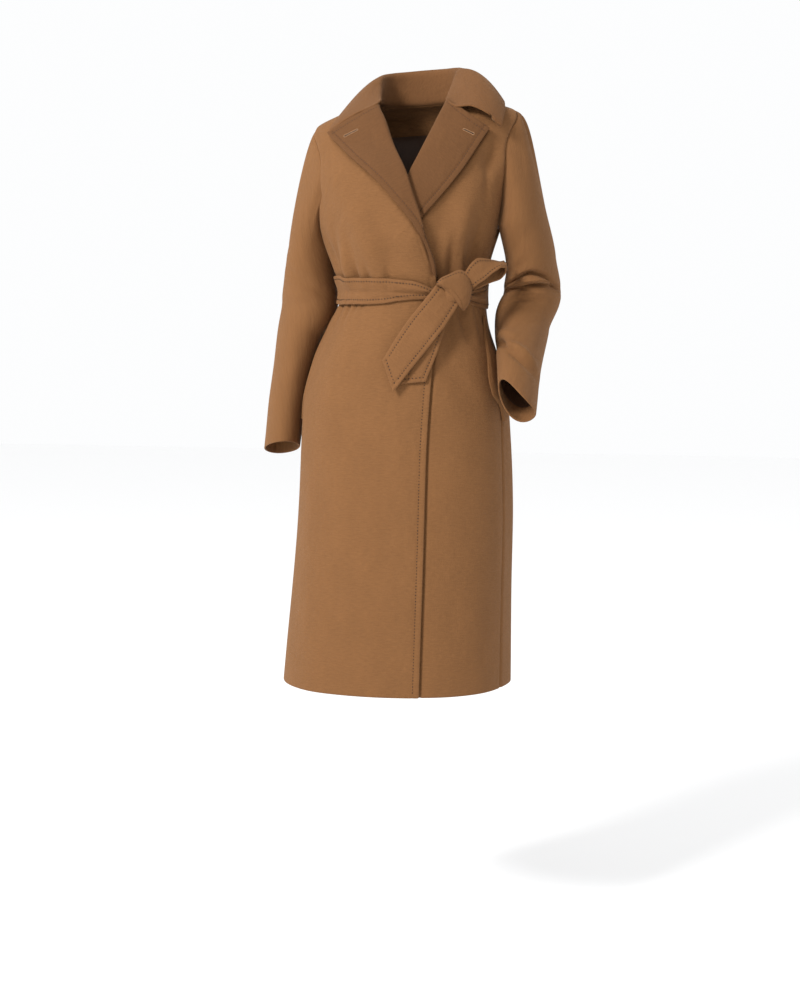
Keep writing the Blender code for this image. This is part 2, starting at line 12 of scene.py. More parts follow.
import bmesh
import bpy
import numpy as np
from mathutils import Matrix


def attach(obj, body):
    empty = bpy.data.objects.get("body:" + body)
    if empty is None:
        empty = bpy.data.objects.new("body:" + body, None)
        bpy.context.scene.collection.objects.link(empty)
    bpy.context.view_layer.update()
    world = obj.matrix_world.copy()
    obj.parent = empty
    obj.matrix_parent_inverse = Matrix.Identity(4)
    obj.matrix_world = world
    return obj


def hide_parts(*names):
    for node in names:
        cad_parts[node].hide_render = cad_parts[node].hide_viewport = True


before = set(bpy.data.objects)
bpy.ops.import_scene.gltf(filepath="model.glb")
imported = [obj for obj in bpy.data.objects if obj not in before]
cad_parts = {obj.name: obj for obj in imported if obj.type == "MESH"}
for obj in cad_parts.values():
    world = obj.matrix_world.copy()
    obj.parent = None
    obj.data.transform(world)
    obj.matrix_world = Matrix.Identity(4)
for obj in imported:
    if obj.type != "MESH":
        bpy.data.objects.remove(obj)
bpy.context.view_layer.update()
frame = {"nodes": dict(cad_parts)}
print("nodes in the frame:", ", ".join(frame["nodes"]))

# %% [markdown]
# ## Camera
#
# The camera comes first, so that every look at the work is from the same place. It stands about
# three metres off, a little to the wearer's left and at hip height, and looks almost level.
# That distance gives the shoulders and the hem their natural proportions.

# %% Camera
def add_object(name, data):
    made = bpy.data.objects.new(name, data)
    bpy.context.scene.collection.objects.link(made)
    return made


camera_data = bpy.data.cameras.new("camera")
camera_data.lens = 63.4
camera_data.sensor_width = 36.0
camera = add_object("camera", camera_data)
camera.location = (0.7179, -3.015, -0.3872)
camera.rotation_euler = (math.radians(90 - 5.675), 0, math.radians(14))
bpy.context.scene.camera = camera
print("camera stands", round(math.hypot(*camera.location[:2]), 2), "m away")

# %% [markdown]
# ## Floor and light
#
# Wool shows its form only under soft light. One large panel stands high at the left of the
# camera and gives the long, gentle shading. The world is almost white, as in a studio with a
# pale sweep, and fills the shadows. The floor is a plain pale sheet, well below the hem.
#
# Three helpers keep the node trees in this lesson short. The first feeds the inputs of a node,
# each with a plain value or with the output of another node. The second adds a node and feeds
# it. The third makes a material and feeds its shader.

# %% Floor, world and lamps
FLOOR_HEIGHT = -1.49
FLOOR_HALF = 12.0
LAMP_PLACE = (-1.6, -2.9, 1.8)
LAMP_AIM = (0, 0, -0.5)
LAMP_SIDE = 1.0
LAMP_WATTS = 190


def feed(tree, node, inputs):
    for key, value in inputs.items():
        if isinstance(value, bpy.types.NodeSocket):
            tree.links.new(value, node.inputs[key])
        else:
            node.inputs[key].default_value = value


def add_node(tree, kind, inputs=None, **settings):
    node = tree.nodes.new(kind)
    for key, value in settings.items():
        setattr(node, key, value)
    feed(tree, node, inputs or {})
    return node


def new_material(name, inputs):
    """A material, its node tree and its shader, with the shader's inputs set."""
    made = bpy.data.materials.new(name)
    made.use_nodes = True
    shader = made.node_tree.nodes["Principled BSDF"]
    feed(made.node_tree, shader, inputs)
    return made, made.node_tree, shader


def make_floor():
    paper, _, _ = new_material("floor_paper", {"Base Color": (0.97, 0.97, 0.97, 1),
                                               "Roughness": 0.9})
    mesh = bpy.data.meshes.new("studio_floor")
    corners = [(x * FLOOR_HALF, y * FLOOR_HALF, FLOOR_HEIGHT)
               for x, y in ((-1, -1), (1, -1), (1, 1), (-1, 1))]
    mesh.from_pydata(corners, [], [(0, 1, 2, 3)])
    mesh.materials.append(paper)
    add_object("studio_floor", mesh)


def make_lamp():
    data = bpy.data.lights.new("key_panel", "AREA")
    data.shape = "RECTANGLE"
    data.size = data.size_y = LAMP_SIDE
    data.energy = LAMP_WATTS
    lamp = add_object("key_panel", data)
    way = np.array(LAMP_AIM) - np.array(LAMP_PLACE)
    tilt = math.atan2(math.hypot(way[0], way[1]), -way[2])
    lamp.location = LAMP_PLACE
    lamp.rotation_euler = (tilt, 0, math.atan2(way[1], way[0]) - math.pi / 2)


def make_world():
    world = bpy.data.worlds.new("studio")
    world.use_nodes = True
    feed(world.node_tree, world.node_tree.nodes["Background"],
         {"Color": (0.99, 0.995, 1.0, 1), "Strength": 0.99})
    bpy.context.scene.world = world


make_floor()
make_world()
bpy.context.scene.view_settings.view_transform = "Standard"
make_lamp()
print("floor at", FLOOR_HEIGHT, "m")

# %% [markdown]
# ## The general form
#
# A coat is cut in flat panels, yet worn it is one smooth, hollow form. So the form is described
# once, as a stack of rounded sections with a height, a middle, a width and two depths. Every
# panel is then read off that form. The curve between two sections is a cubic that never
# overshoots, which keeps the outline as calm as pressed wool.

# %% Sections of the form
# height, centre_x, centre_y, half_width, front_depth, back_depth
BODY = np.array([
    (0.065, -0.002, 0.018, 0.064, 0.056, 0.052),
    (0.004, -0.002, 0.010, 0.070, 0.060, 0.056),
    (-0.008, -0.002, 0.008, 0.104, 0.074, 0.074),
    (-0.020, -0.002, 0.006, 0.146, 0.084, 0.090),
    (-0.036, -0.002, 0.004, 0.181, 0.092, 0.102),
    (-0.056, -0.003, 0.003, 0.191, 0.100, 0.110),
    (-0.110, -0.006, 0.000, 0.189, 0.116, 0.117),
    (-0.170, -0.011, 0.000, 0.173, 0.128, 0.120),
    (-0.235, -0.013, 0.000, 0.154, 0.127, 0.115),
    (-0.285, -0.013, 0.000, 0.137, 0.117, 0.106),
    (-0.331, -0.0085, 0.000, 0.1255, 0.108, 0.101),
    (-0.385, -0.017, 0.000, 0.139, 0.119, 0.114),
    (-0.450, -0.021, 0.000, 0.164, 0.133, 0.134),
    (-0.530, -0.023, 0.000, 0.182, 0.143, 0.148),
    (-0.700, -0.026, 0.000, 0.188, 0.151, 0.153),
    (-0.850, -0.032, 0.000, 0.194, 0.158, 0.158),
    (-1.030, -0.043, 0.000, 0.203, 0.166, 0.166),
])
BOXINESS = 0.07
SHOULDER_TILT = 0.05
HEM = -1.016
WAIST = -0.331
BREAK = -0.300
SKIRT_TOP = -0.40
UNDERARM = -0.246
SHOULDER_TIP = -0.0245
NECK = 0.0


def hermite(f, start, leave, end, arrive):
    """Cubic from start to end at shares f, leaving and arriving with the given runs."""
    a = (1 + 2 * f) * (1 - f) ** 2 * start + f * (1 - f) ** 2 * leave
    b = f * f * (3 - 2 * f) * end + f * f * (f - 1) * arrive
    return a + b


def run_through(table, at):
    """Values of a table at new stations: a cubic that never overshoots its rows."""
    rows = table[np.argsort(table[:, 0])]
    stations = rows[:, 0]
    values = rows[:, 1:]
    step = np.diff(stations)[:, None]
    slope = np.diff(values, axis=0) / step
    total = slope[1:] + slope[:-1]
    product = slope[1:] * slope[:-1]
    inner = np.where(product > 0, 2 * product / np.where(product > 0, total, 1), 0)
    tangent = np.vstack((slope[:1], inner, slope[-1:]))
    at = np.clip(np.asarray(at, float), stations[0], stations[-1])
    k = np.clip(np.searchsorted(stations, at, side="right") - 1, 0, len(stations) - 2)
    f = ((at - stations[k]) / step[k, 0])[..., None]
    width = step[k]
    return hermite(f, values[k], width * tangent[k], values[k + 1], width * tangent[k + 1])


def along(table, count):
    """The rows of a table smoothed into a given number of evenly spread rows."""
    rows = len(table)
    numbered = np.column_stack((np.arange(rows), table))
    return run_through(numbered, np.linspace(0, rows - 1, count))


def ease(value, start, end):
    """Soft step from 0 at start to 1 at end."""
    f = np.clip((value - start) / (end - start), 0, 1)
    return f * f * (3 - 2 * f)


def unit(vectors):
    return vectors / np.maximum(np.linalg.norm(vectors, axis=-1, keepdims=True), 1e-12)


def raw_body(angle, height):
    """Point of the form's section at an angle and a height, without folds."""
    section = run_through(BODY, height)
    centre_x, centre_y, half_width, front, back = np.moveaxis(section, -1, 0)
    side = np.cos(angle)
    ahead = np.sin(angle)
    depth = np.where(ahead > 0, front, back)
    x = centre_x + half_width * side * (1 + BOXINESS * ahead ** 2)
    y = centre_y - depth * ahead * (1 + BOXINESS * side ** 2)
    z = height + SHOULDER_TILT * x * ease(height, WAIST, UNDERARM)
    return np.stack((x, y, z), axis=-1)


print("the form is", round(float(BODY[-1, 3] * 2), 3), "m wide at the hem")

# %% [markdown]
# ## Folds
#
# Worn wool folds where the body turns and where the belt pulls it in. Each fold is a soft ridge
# or trough: it runs from one angle and height to another, rises by a few millimetres and is a
# few centimetres wide. Summing them gives a relief that the panels share, so a fold can cross
# a seam as it does on the real coat. The larger folds are those of the frame, and smaller ones
# join them here: tucks above and below the belt, and the drag from the lapel to the knot.

# %% Table of folds
# angle_top, height_top, angle_bottom, height_bottom, rise, width
FOLDS = np.array([
    (150, -0.205, 146, -0.322, -0.006, 0.026),
    (136, -0.110, 118, -0.315, -0.005, 0.030),
    (130, -0.240, 129, -0.322, 0.004, 0.020),
    (60, -0.150, 64, -0.315, -0.006, 0.026),
    (45, -0.130, 50, -0.310, 0.006, 0.024),
    (33, -0.205, 37, -0.322, -0.007, 0.026),
    (72, -0.350, 50, -0.480, 0.007, 0.026),
    (62, -0.350, 38, -0.580, -0.005, 0.034),
    (210, -0.205, 216, -0.322, -0.006, 0.028),
    (232, -0.150, 238, -0.320, 0.005, 0.028),
    (308, -0.150, 302, -0.320, 0.005, 0.028),
    (330, -0.205, 324, -0.322, -0.006, 0.028),
    (240, -0.350, 236, -0.500, -0.005, 0.034),
    (300, -0.350, 304, -0.500, -0.005, 0.034),
    (352, -0.430, 350, -1.020, 0.004, 0.036),
    (200, -0.550, 204, -1.020, 0.005, 0.040),
    (316, -0.600, 314, -1.020, 0.005, 0.042),
    (262, -0.600, 260, -1.020, -0.004, 0.044),
])
TURN_REACH = 0.01
CREASE_DEPTH = 1.25
SLOW_UNREST = 0.0013
QUICK_UNREST = 0.0007
# Small creases: beside the belt, at the armholes and under the collar
CREASES = np.array([
    (131, -0.185, 143, -0.360, -0.0050, 0.012),
    (124, -0.190, 130, -0.350, 0.0026, 0.010),
    (118, -0.205, 122, -0.360, -0.0030, 0.010),
    (104, -0.150, 84, -0.340, -0.0042, 0.018),
    (117, -0.165, 96, -0.350, 0.0040, 0.018),
    (118, -0.262, 120, -0.350, -0.0044, 0.0055),
    (108, -0.266, 110, -0.350, -0.0040, 0.0055),
    (94, -0.270, 96, -0.350, -0.0034, 0.0060),
    (134, -0.300, 128, -0.400, -0.0046, 0.0060),
    (124, -0.300, 121, -0.385, -0.0040, 0.0055),
    (117, -0.305, 115, -0.375, -0.0034, 0.0050),
    (152, -0.300, 141, -0.410, -0.0032, 0.0100),
    (53, -0.200, 47, -0.370, -0.0060, 0.0100),
    (43, -0.205, 37, -0.370, 0.0034, 0.0090),
    (32, -0.195, 23, -0.370, -0.0044, 0.0100),
    (42, -0.070, 38, -0.155, -0.0080, 0.0200),
    (44, -0.095, 28, -0.220, -0.0028, 0.0100),
    (41, -0.310, 35, -0.430, -0.0066, 0.0100),
    (33, -0.310, 26, -0.440, 0.0044, 0.0100),
    (47, -0.340, 57, -0.480, -0.0046, 0.0160),
    (20, -0.310, 8, -0.405, -0.0024, 0.0100),
    (150, -0.100, 140, -0.200, -0.0034, 0.0140),
    (196, -0.250, 198, -0.306, -0.0026, 0.010),
    (222, -0.240, 224, -0.306, -0.0028, 0.011),
    (246, -0.255, 248, -0.306, -0.0022, 0.010),
    (270, -0.240, 270, -0.306, -0.0026, 0.012),
    (292, -0.250, 290, -0.306, -0.0022, 0.010),
    (318, -0.240, 316, -0.306, -0.0028, 0.011),
    (342, -0.250, 340, -0.306, -0.0026, 0.010),
    (214, -0.354, 212, -0.410, -0.0024, 0.011),
    (250, -0.354, 249, -0.400, -0.0022, 0.010),
    (284, -0.354, 286, -0.405, -0.0022, 0.010),
    (326, -0.354, 328, -0.410, -0.0024, 0.011),
    (205, -0.110, 212, -0.200, -0.0030, 0.018),
    (335, -0.110, 328, -0.200, -0.0030, 0.018),
])


def relief(table, angle, height):
    """How far a table of folds pushes the cloth out at an angle and a height."""
    rise = np.zeros(np.broadcast(angle, height).shape)
    radius = run_through(BODY, height)[..., 2]
    for angle_top, top, angle_bottom, bottom, depth, width in table:
        f = (top - height) / (top - bottom)
        middle = np.radians(angle_top + (angle_bottom - angle_top) * f)
        aside = (angle - middle + math.pi) % (2 * math.pi) - math.pi
        ends = ease(f, 0.0, 0.5) * (1 - ease(f, 0.55, 1.0) * (bottom > HEM))
        rise = rise + depth * ends * np.exp(-(aside * radius / width) ** 2)
    return rise


def unrest(angle, height):
    """The slow, slight unevenness of hanging wool, strongest in the skirt."""
    slow = np.sin(3 * angle + 9 * height) * np.sin(2 * angle - 7 * height + 1.3)
    quick = np.sin(7 * angle + 4.0 * height + 2.1) * np.sin(5 * angle - 17 * height + 0.4)
    return (SLOW_UNREST * slow + QUICK_UNREST * quick) * ease(-height, 0.06, 0.16)


def body(angle, height, out=0.0, reach=0.001, fine=1.0):
    """Point of the coat's surface moved out by a distance; fine scales the small creases."""
    angle, height = np.broadcast_arrays(np.asarray(angle, float), np.asarray(height, float))
    round_about = raw_body(angle + TURN_REACH, height) - raw_body(angle - TURN_REACH, height)
    upward = raw_body(angle, height + reach) - raw_body(angle, height - reach)
    normal = unit(np.cross(upward, round_about))
    rise = relief(FOLDS, angle, height) + out
    rise = rise + fine * (CREASE_DEPTH * relief(CREASES, angle, height) + unrest(angle, height))
    return raw_body(angle, height) + normal * rise[..., None]


print(len(FOLDS), "folds and", len(CREASES), "creases")

# %% [markdown]
# ## Cloth shells
#
# A single sheet of faces looks like paper at its edges. Here every piece is a closed wall made
# from one grid of points. The back face is the grid moved in by the cloth's thickness, and the
# two faces are joined by a rounded rim, so each edge catches the light as folded wool does. The
# same helper writes a UV map in metres, measured along the cloth, so that the nap keeps its
# size and its direction on every piece. Solidify could do this too, but it can't round the rim.

# %% The shell builder
RIM_STEPS = 3
RIM_BULGE = 0.8
CORNER_STEPS = ((0, 0), (0, 1), (1, 1), (1, 0))


def close_ring(grid):
    """A ring's grid with its first column repeated at the end."""
    return np.concatenate((grid, grid[:, :1]), axis=1)


def grid_normals(grid, ring=False):
    """Normals of a grid of points, by the runs along its rows and its columns."""
    if ring:
        across = np.roll(grid, -1, axis=1) - np.roll(grid, 1, axis=1)
    else:
        across = np.gradient(grid, axis=1)
    return unit(np.cross(np.gradient(grid, axis=0), across))


def cloth_uv(grid, ring=False):
    """Distances run across and down the cloth; a ring gets one more column, where it closes."""
    grid = close_ring(grid) if ring else grid
    uv = np.zeros((*grid.shape[:2], 2))
    uv[:, 1:, 0] = np.cumsum(np.linalg.norm(np.diff(grid, axis=1), axis=-1), axis=1)
    uv[1:, :, 1] = np.cumsum(np.linalg.norm(np.diff(grid, axis=0), axis=-1), axis=0)
    return uv


def open_edges(rows, columns, ring):
    """Places round each open edge of a grid, with the place that follows each of them."""
    if ring:
        for row in (0, rows - 1):
            here = np.array([(row, column) for column in range(columns)])
            yield here, here + (0, 1)
        return
    top = [(0, k) for k in range(columns)]
    right = [(k, columns - 1) for k in range(1, rows)]
    bottom = [(rows - 1, k) for k in range(columns - 2, -1, -1)]
    left = [(k, 0) for k in range(rows - 2, 0, -1)]
    here = np.array(top + right + bottom + left)
    yield here, np.roll(here, -1, axis=0)


def finish_mesh(name, points, faces, uv, finishes, slots):
    """A smooth object from points and faces, its faces turned outward, with its UV map."""
    mesh = bpy.data.meshes.new(name)
    mesh.from_pydata(np.asarray(points).tolist(), [], faces)
    mesh.uv_layers.new(name="cloth").uv.foreach_set("vector", np.asarray(uv, np.float32).ravel())
    for finish in finishes:
        mesh.materials.append(finish)
    mesh.polygons.foreach_set("material_index", np.asarray(slots, np.int32))
    work = bmesh.new()
    work.from_mesh(mesh)
    bmesh.ops.recalc_face_normals(work, faces=work.faces)
    if work.calc_volume(signed=True) < 0:
        bmesh.ops.reverse_faces(work, faces=work.faces)
    work.to_mesh(mesh)
    work.free()
    mesh.shade_smooth()
    return add_object(name, mesh)


def cloth_shell(name, grid, thickness, finishes, ring=False, inward=1, back_finish=None,
                back=None):
    """A closed wall of cloth on a grid of points.

    inward is 1 or -1: the side of the grid that the back face lies on. back_finish gives the
    number of the finish of each back face from its rows and columns. back may give the back
    face's own points, where it doesn't follow the front's creases.
    """
    rows, columns = grid.shape[:2]
    thick = np.broadcast_to(np.asarray(thickness, float), (rows, columns))[..., None]
    if back is None:
        back = grid - grid_normals(grid, ring) * thick * inward
    points = [grid.reshape(-1, 3), back.reshape(-1, 3)]
    uv = cloth_uv(grid, ring)

    def at(place, layer):
        return layer * rows * columns + place[..., 0] * columns + place[..., 1] % columns

    row, column = np.indices((rows - 1, columns if ring else columns - 1)).reshape(2, -1)
    corners = np.stack([np.stack((row + i, column + j), axis=-1) for i, j in CORNER_STEPS], axis=1)
    faces = [at(corners, 0), at(corners[:, ::-1], 1)]
    places = [corners, corners[:, ::-1]]
    front_slots = np.zeros(len(row), int)
    slots = [front_slots, front_slots if back_finish is None else back_finish(row, column)]
    total = 2 * rows * columns
    for here, there in open_edges(rows, columns, ring):
        r, c = here.T
        inner_column = c if ring else np.clip(c, 1, columns - 2)
        outward = unit(grid[r, c] - grid[np.clip(r, 1, rows - 2), inner_column])
        middle = (grid[r, c] + back[r, c]) / 2
        half = (grid[r, c] - back[r, c]) / 2
        size = np.linalg.norm(half, axis=-1, keepdims=True)
        band = [at(here, 0)]
        for step in range(1, RIM_STEPS + 1):
            turn = math.pi * step / (RIM_STEPS + 1)
            bulge = outward * size * math.sin(turn) * RIM_BULGE
            points.append(middle + half * math.cos(turn) + bulge)
            band.append(total + np.arange(len(here)))
            total += len(here)
        band.append(at(here, 1))
        for upper, lower in zip(band, band[1:]):
            faces.append(np.stack((upper, np.roll(upper, -1), np.roll(lower, -1), lower), axis=1))
            places.append(np.stack((here, there, there, here), axis=1))
            slots.append(np.zeros(len(here), int))
    return finish_mesh(name, np.concatenate(points), np.concatenate(faces).tolist(),
                       uv[tuple(np.moveaxis(np.concatenate(places), -1, 0))], finishes,
                       np.concatenate(slots))


def cloth_sheet(piece, grid, ring=False):
    """Print how wide and how long a piece is cut, as the cloth of its grid runs, and its area."""
    uv = cloth_uv(grid, ring)
    width, length = float(uv[..., 0].max()), float(uv[..., 1].max())
    closed = close_ring(grid) if ring else grid
    diagonals = closed[1:, 1:] - closed[:-1, :-1], closed[1:, :-1] - closed[:-1, 1:]
    area = float(np.linalg.norm(np.cross(*diagonals), axis=-1).sum() / 2)
    area = min(area, width * length)
    print(piece.name, "is cut", round(width, 3), "by", round(length, 3), "m,",
          round(area, 3), "square metres")


def place_piece(piece, node):
    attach(piece, "root")
    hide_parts(node)


def dress(name, node, slot, grid, thickness, finishes, held, rests_on, ring=False, **shell):
    """Make a piece of cloth in the place of its frame node, and give back its grid."""
    piece = cloth_shell(name, grid, thickness, finishes, ring, **shell)
    place_piece(piece, node)
    cloth_sheet(piece, grid, ring)
    return grid


print("each rim has", RIM_STEPS, "loops")

# %% [markdown]
# ### Pressed rows
#
# Where a row of stitches runs inside an edge, it draws the cloth in, and the iron sets that
# line. So the grid is pressed in a little along each such row, before its shell is made.

# %% Pressed rows
PRESS = 0.0009
PRESS_WIDTH = 0.0022
EDGE_INSET = 0.0098
LAPEL_INSET = 0.0092
BELT_INSET = 0.0068
TURN_INSET = 0.0048


def outward_normals(grid):
    """Normals of a grid, all turned away from the line through the middle of the coat."""
    normals = grid_normals(grid)
    return normals * np.sign((normals * grid * (1, 1, 0)).sum(axis=-1, keepdims=True))


def from_side(grid, side):
    """View of a grid in which one of its sides is the first column."""
    grid = np.swapaxes(grid, 0, 1) if side in ("top", "bottom") else grid
    return grid[:, ::-1] if side in ("last", "bottom") else grid


def press_rows(grid, sides, inset):
    """Grid pressed in a little along the rows of stitches inside some of its sides."""
    grid = grid.copy()
    for side in sides:
        seen = from_side(grid, side)
        depth = PRESS * np.exp(-((cloth_uv(seen)[..., 0] - inset) / PRESS_WIDTH) ** 2)
        seen -= outward_normals(seen) * depth[..., None]
    return grid


print("rows lie", EDGE_INSET, "m inside the front edge and", BELT_INSET, "m inside the belt's")

# %% [markdown]
# ## The wool
#
# Coating wool is woven, milled until the weave closes, and then brushed and pressed, so what
# shows is a short nap that lies one way. Close up it is a field of fine fibres with a faint
# grain across the cloth; from a step away it is a soft, slightly mottled brown that turns
# paler where it is seen at a glancing angle. Three layers of noise on the UV map, which is in
# metres, give the fibres, the grain and the mottle. The sheen is set on the shader's own
# socket, since it is the same all over.

# %% Wool material
WOOL = (0.166, 0.0735, 0.0258)
# The collar's colour is this wool painted darker: painted shade, not another cloth.
COLLAR_WOOL_PAINTED_SHADE = (0.130, 0.0555, 0.0192)
# The lapels' colour is this wool painted darker still: painted shade on the lapels.
LAPEL_WOOL_PAINTED_SHADE = (0.106, 0.0450, 0.0155)
WOOL_BELT = (0.162, 0.0715, 0.0255)
SHEEN_TINT = (1.0, 0.62, 0.34, 1)
COLOUR_A, COLOUR_B, COLOUR_RESULT = 6, 7, 2


def noise_layer(tree, source, stretch, scale, detail, low, high, roughness=0.5):
    """Noise on a map stretched by two factors; low to high of it is spread over 0 to 1."""
    mapping = add_node(tree, "ShaderNodeMapping", {"Vector": source, "Scale": (*stretch, 1)})
    noise = add_node(tree, "ShaderNodeTexNoise", {
        "Vector": mapping.outputs["Vector"], "Scale": scale, "Detail": detail,
        "Roughness": roughness})
    return add_node(tree, "ShaderNodeMapRange", {
        "Value": noise.outputs["Fac"], "From Min": low, "From Max": high}).outputs["Result"]


def mix_shades(tree, factor, first, second):
    return add_node(tree, "ShaderNodeMix", {"Factor": factor, COLOUR_A: first, COLOUR_B: second},
                    data_type="RGBA").outputs[COLOUR_RESULT]


def bump(tree, height, strength, distance, **under):
    return add_node(tree, "ShaderNodeBump", {
        "Height": height, "Strength": strength, "Distance": distance, **under}).outputs["Normal"]


def shade(colour, factor):
    return (*(min(1.0, part * factor) for part in colour), 1)


def cloth_map(tree):
    return add_node(tree, "ShaderNodeUVMap", uv_map="cloth").outputs["UV"]


def wool_material(name, colour):
    made, tree, shader = new_material(name, {
        "Roughness": 0.88, "Specular IOR Level": 0.18, "Sheen Weight": 0.12,
        "Sheen Roughness": 0.42, "Sheen Tint": SHEEN_TINT})
    cloth = cloth_map(tree)
    mottle = noise_layer(tree, cloth, (1.0, 0.55), 22, 5, 0.36, 0.66, 0.62)
    grain = noise_layer(tree, cloth, (0.20, 1.0), 440, 5, 0.32, 0.70, 0.66)
    fibre = noise_layer(tree, cloth, (1.0, 0.45), 1500, 3, 0.30, 0.74, 0.7)
    broad = mix_shades(tree, mottle, shade(colour, 0.89), shade(colour, 1.09))
    fine = mix_shades(tree, grain, shade(colour, 0.70), shade(colour, 1.26))
    hair = mix_shades(tree, fibre, shade(colour, 0.66), shade(colour, 1.30))
    woven = mix_shades(tree, 0.45, fine, hair)
    height = add_node(tree, "ShaderNodeMath", {0: fibre, 1: 0.6, 2: grain},
                      operation="MULTIPLY_ADD").outputs[0]
    nap = bump(tree, height, 0.60, 0.0007)
    feed(tree, shader, {"Base Color": mix_shades(tree, 0.62, broad, woven),
                        "Normal": bump(tree, mottle, 0.30, 0.0030, Normal=nap)})
    return made


wool = wool_material("wool", WOOL)
# The collar's copy is the same wool painted darker: painted shade.
wool_collar = wool_material("wool_collar", COLLAR_WOOL_PAINTED_SHADE)
# The lapels' copy is the same wool painted darker still: painted shade.
lapel_wool_painted_shade = wool_material("lapel_wool_painted_shade", LAPEL_WOOL_PAINTED_SHADE)
wool_belt = wool_material("wool_belt", WOOL_BELT)
print("four shades of one wool")

# %% [markdown]
# ## The lining
#
# The inside of the body and the sleeves is a smooth satin, darker than the wool, so that the
# coat slides on. It shows only inside the cuffs, the neck and the hem. Satin is many fine
# threads lying one way, so its gloss is stretched across them: a low roughness, and fine lines
# along the cloth for the threads.

# %% Lining material
LINING = (0.060, 0.028, 0.014)


def lining_material():
    made, tree, shader = new_material("lining_satin", {"Roughness": 0.42,
                                                       "Specular IOR Level": 0.45})
    cloth = cloth_map(tree)
    threads = noise_layer(tree, cloth, (1.0, 0.04), 1600, 2, 0.35, 0.65)
    waves = noise_layer(tree, cloth, (1.0, 0.4), 18, 3, 0.35, 0.65)
    colour = mix_shades(tree, threads, shade(LINING, 0.85), shade(LINING, 1.2))
    feed(tree, shader, {"Base Color": colour, "Normal": bump(tree, waves, 0.5, 0.002)})
    return made


lining = lining_material()
print("one lining")

# %% [markdown]
# ## Edges of the fronts and the way a place is found
#
# The edges of the fronts, the roll lines and the lapels are drawn as a tailor marks them, by
# the distance across at a height. A small solver turns such a place into an angle round the
# form, so that everything that lies on a front follows its curve.

# %% Edges and places on the front
# height, across
ROLL_RIGHT = np.array([
    (0.000, -0.0560), (-0.015, -0.0502), (-0.042, -0.0338), (-0.083, -0.0159), (-0.114, 0.0007),
    (-0.137, 0.0120), (-0.172, 0.0238), (-0.208, 0.0342), (-0.240, 0.0403), (-0.265, 0.0462),
    (-0.290, 0.0505), (-0.310, 0.0515),
])
EDGE_RIGHT = np.array([
    (-0.310, 0.0515), (-0.400, 0.053), (-0.470, 0.051), (-0.605, 0.045), (-0.770, 0.042),
    (-1.020, 0.036),
])
ROLL_LEFT = np.array([
    (0.000, 0.0640), (-0.018, 0.0622), (-0.047, 0.0515), (-0.077, 0.0384), (-0.106, 0.0248),
    (-0.134, 0.0112), (-0.310, -0.0500),
])
EDGE_LEFT = np.array([(-0.310, -0.050), (-0.600, -0.070), (-1.020, -0.090)])
# Outer edges, from the tip down to the break: height, across
LAPEL_RIGHT = np.array([
    (-0.0575, -0.1370), (-0.0987, -0.0924), (-0.1340, -0.0530), (-0.1619, -0.0237),
    (-0.1937, 0.0033), (-0.2183, 0.0212), (-0.2423, 0.0350), (-0.2777, 0.0455), (-0.3020, 0.0490),
])
LAPEL_LEFT = np.array([
    (-0.0696, 0.1357), (-0.0987, 0.1192), (-0.1296, 0.1006), (-0.1556, 0.0814), (-0.1795, 0.0614),
    (-0.2086, 0.0347), (-0.2500, 0.0030), (-0.2800, -0.0220), (-0.3020, -0.0420),
])
LAP_LIFT = 0.0045
LAPEL_LIFT = 0.0120
LAP_FADE_ANGLES = (118, 150)
LAP_FADE_HEIGHTS = (-0.135, -0.075)
LAY_REACH = 0.016
SOLVER_STEPS = 12
SOLVER_STRIDE = 0.8
SOLVER_EDGE = 0.02


def angle_at(across, height):
    """Angle of the place on the front that is seen at a distance across and a height."""
    across, height = np.broadcast_arrays(np.asarray(across, float), np.asarray(height, float))
    section = run_through(BODY, height)
    share = np.clip((across - section[..., 0]) / section[..., 2], -0.999, 0.999)
    angle = np.arccos(share)
    for _ in range(SOLVER_STEPS):
        off = np.cos(angle) * (1 + BOXINESS * np.sin(angle) ** 2) - share
        step = off / np.maximum(np.sin(angle), 0.05) * SOLVER_STRIDE
        angle = np.clip(angle + step, SOLVER_EDGE, math.pi - SOLVER_EDGE)
    return angle


def on_front(across, height, out, fine=1.0):
    """Point lying on the front of the coat, moved out by a distance."""
    return body(angle_at(across, height), height, out, reach=LAY_REACH, fine=fine)


def over_lift(angle, height):
    """How far the right front stands out where it laps over the left one and its lapel."""
    full = LAP_LIFT + (LAPEL_LIFT - LAP_LIFT) * ease(height, SKIRT_TOP, BREAK)
    full = full * (1 - ease(height, *LAP_FADE_HEIGHTS))
    return full * (1 - ease(angle, *np.radians(LAP_FADE_ANGLES)))


def front_edge(roll, edge, height):
    """Angle of the front edge, and of the roll line above the break."""
    rows = np.vstack((edge, roll[:-1]))
    return angle_at(run_through(rows, height)[..., 0], height)


print("the right front reaches", round(float(EDGE_RIGHT[-1, 1]), 3), "m past the middle")

# %% [markdown]
# ## Back and fronts
#
# Each body panel is cut from the form between its seams. Its rows lie close together at the
# shoulder, where the cloth turns fastest. At a seam the cloth dips by about three millimetres,
# since the seam allowance is pressed open behind it: that dip is what makes a seam readable.
# The hem is a deep turn-up, so the wall is thicker there, and the front edge is backed with
# wool for a hand's width, where the lining begins.

# %% Body panels
CLOTH = 0.0030
HEM_TURN_UP = 0.045
HEM_EXTRA = 0.0012
FACING = 0.085
NECK_FACING = 0.05
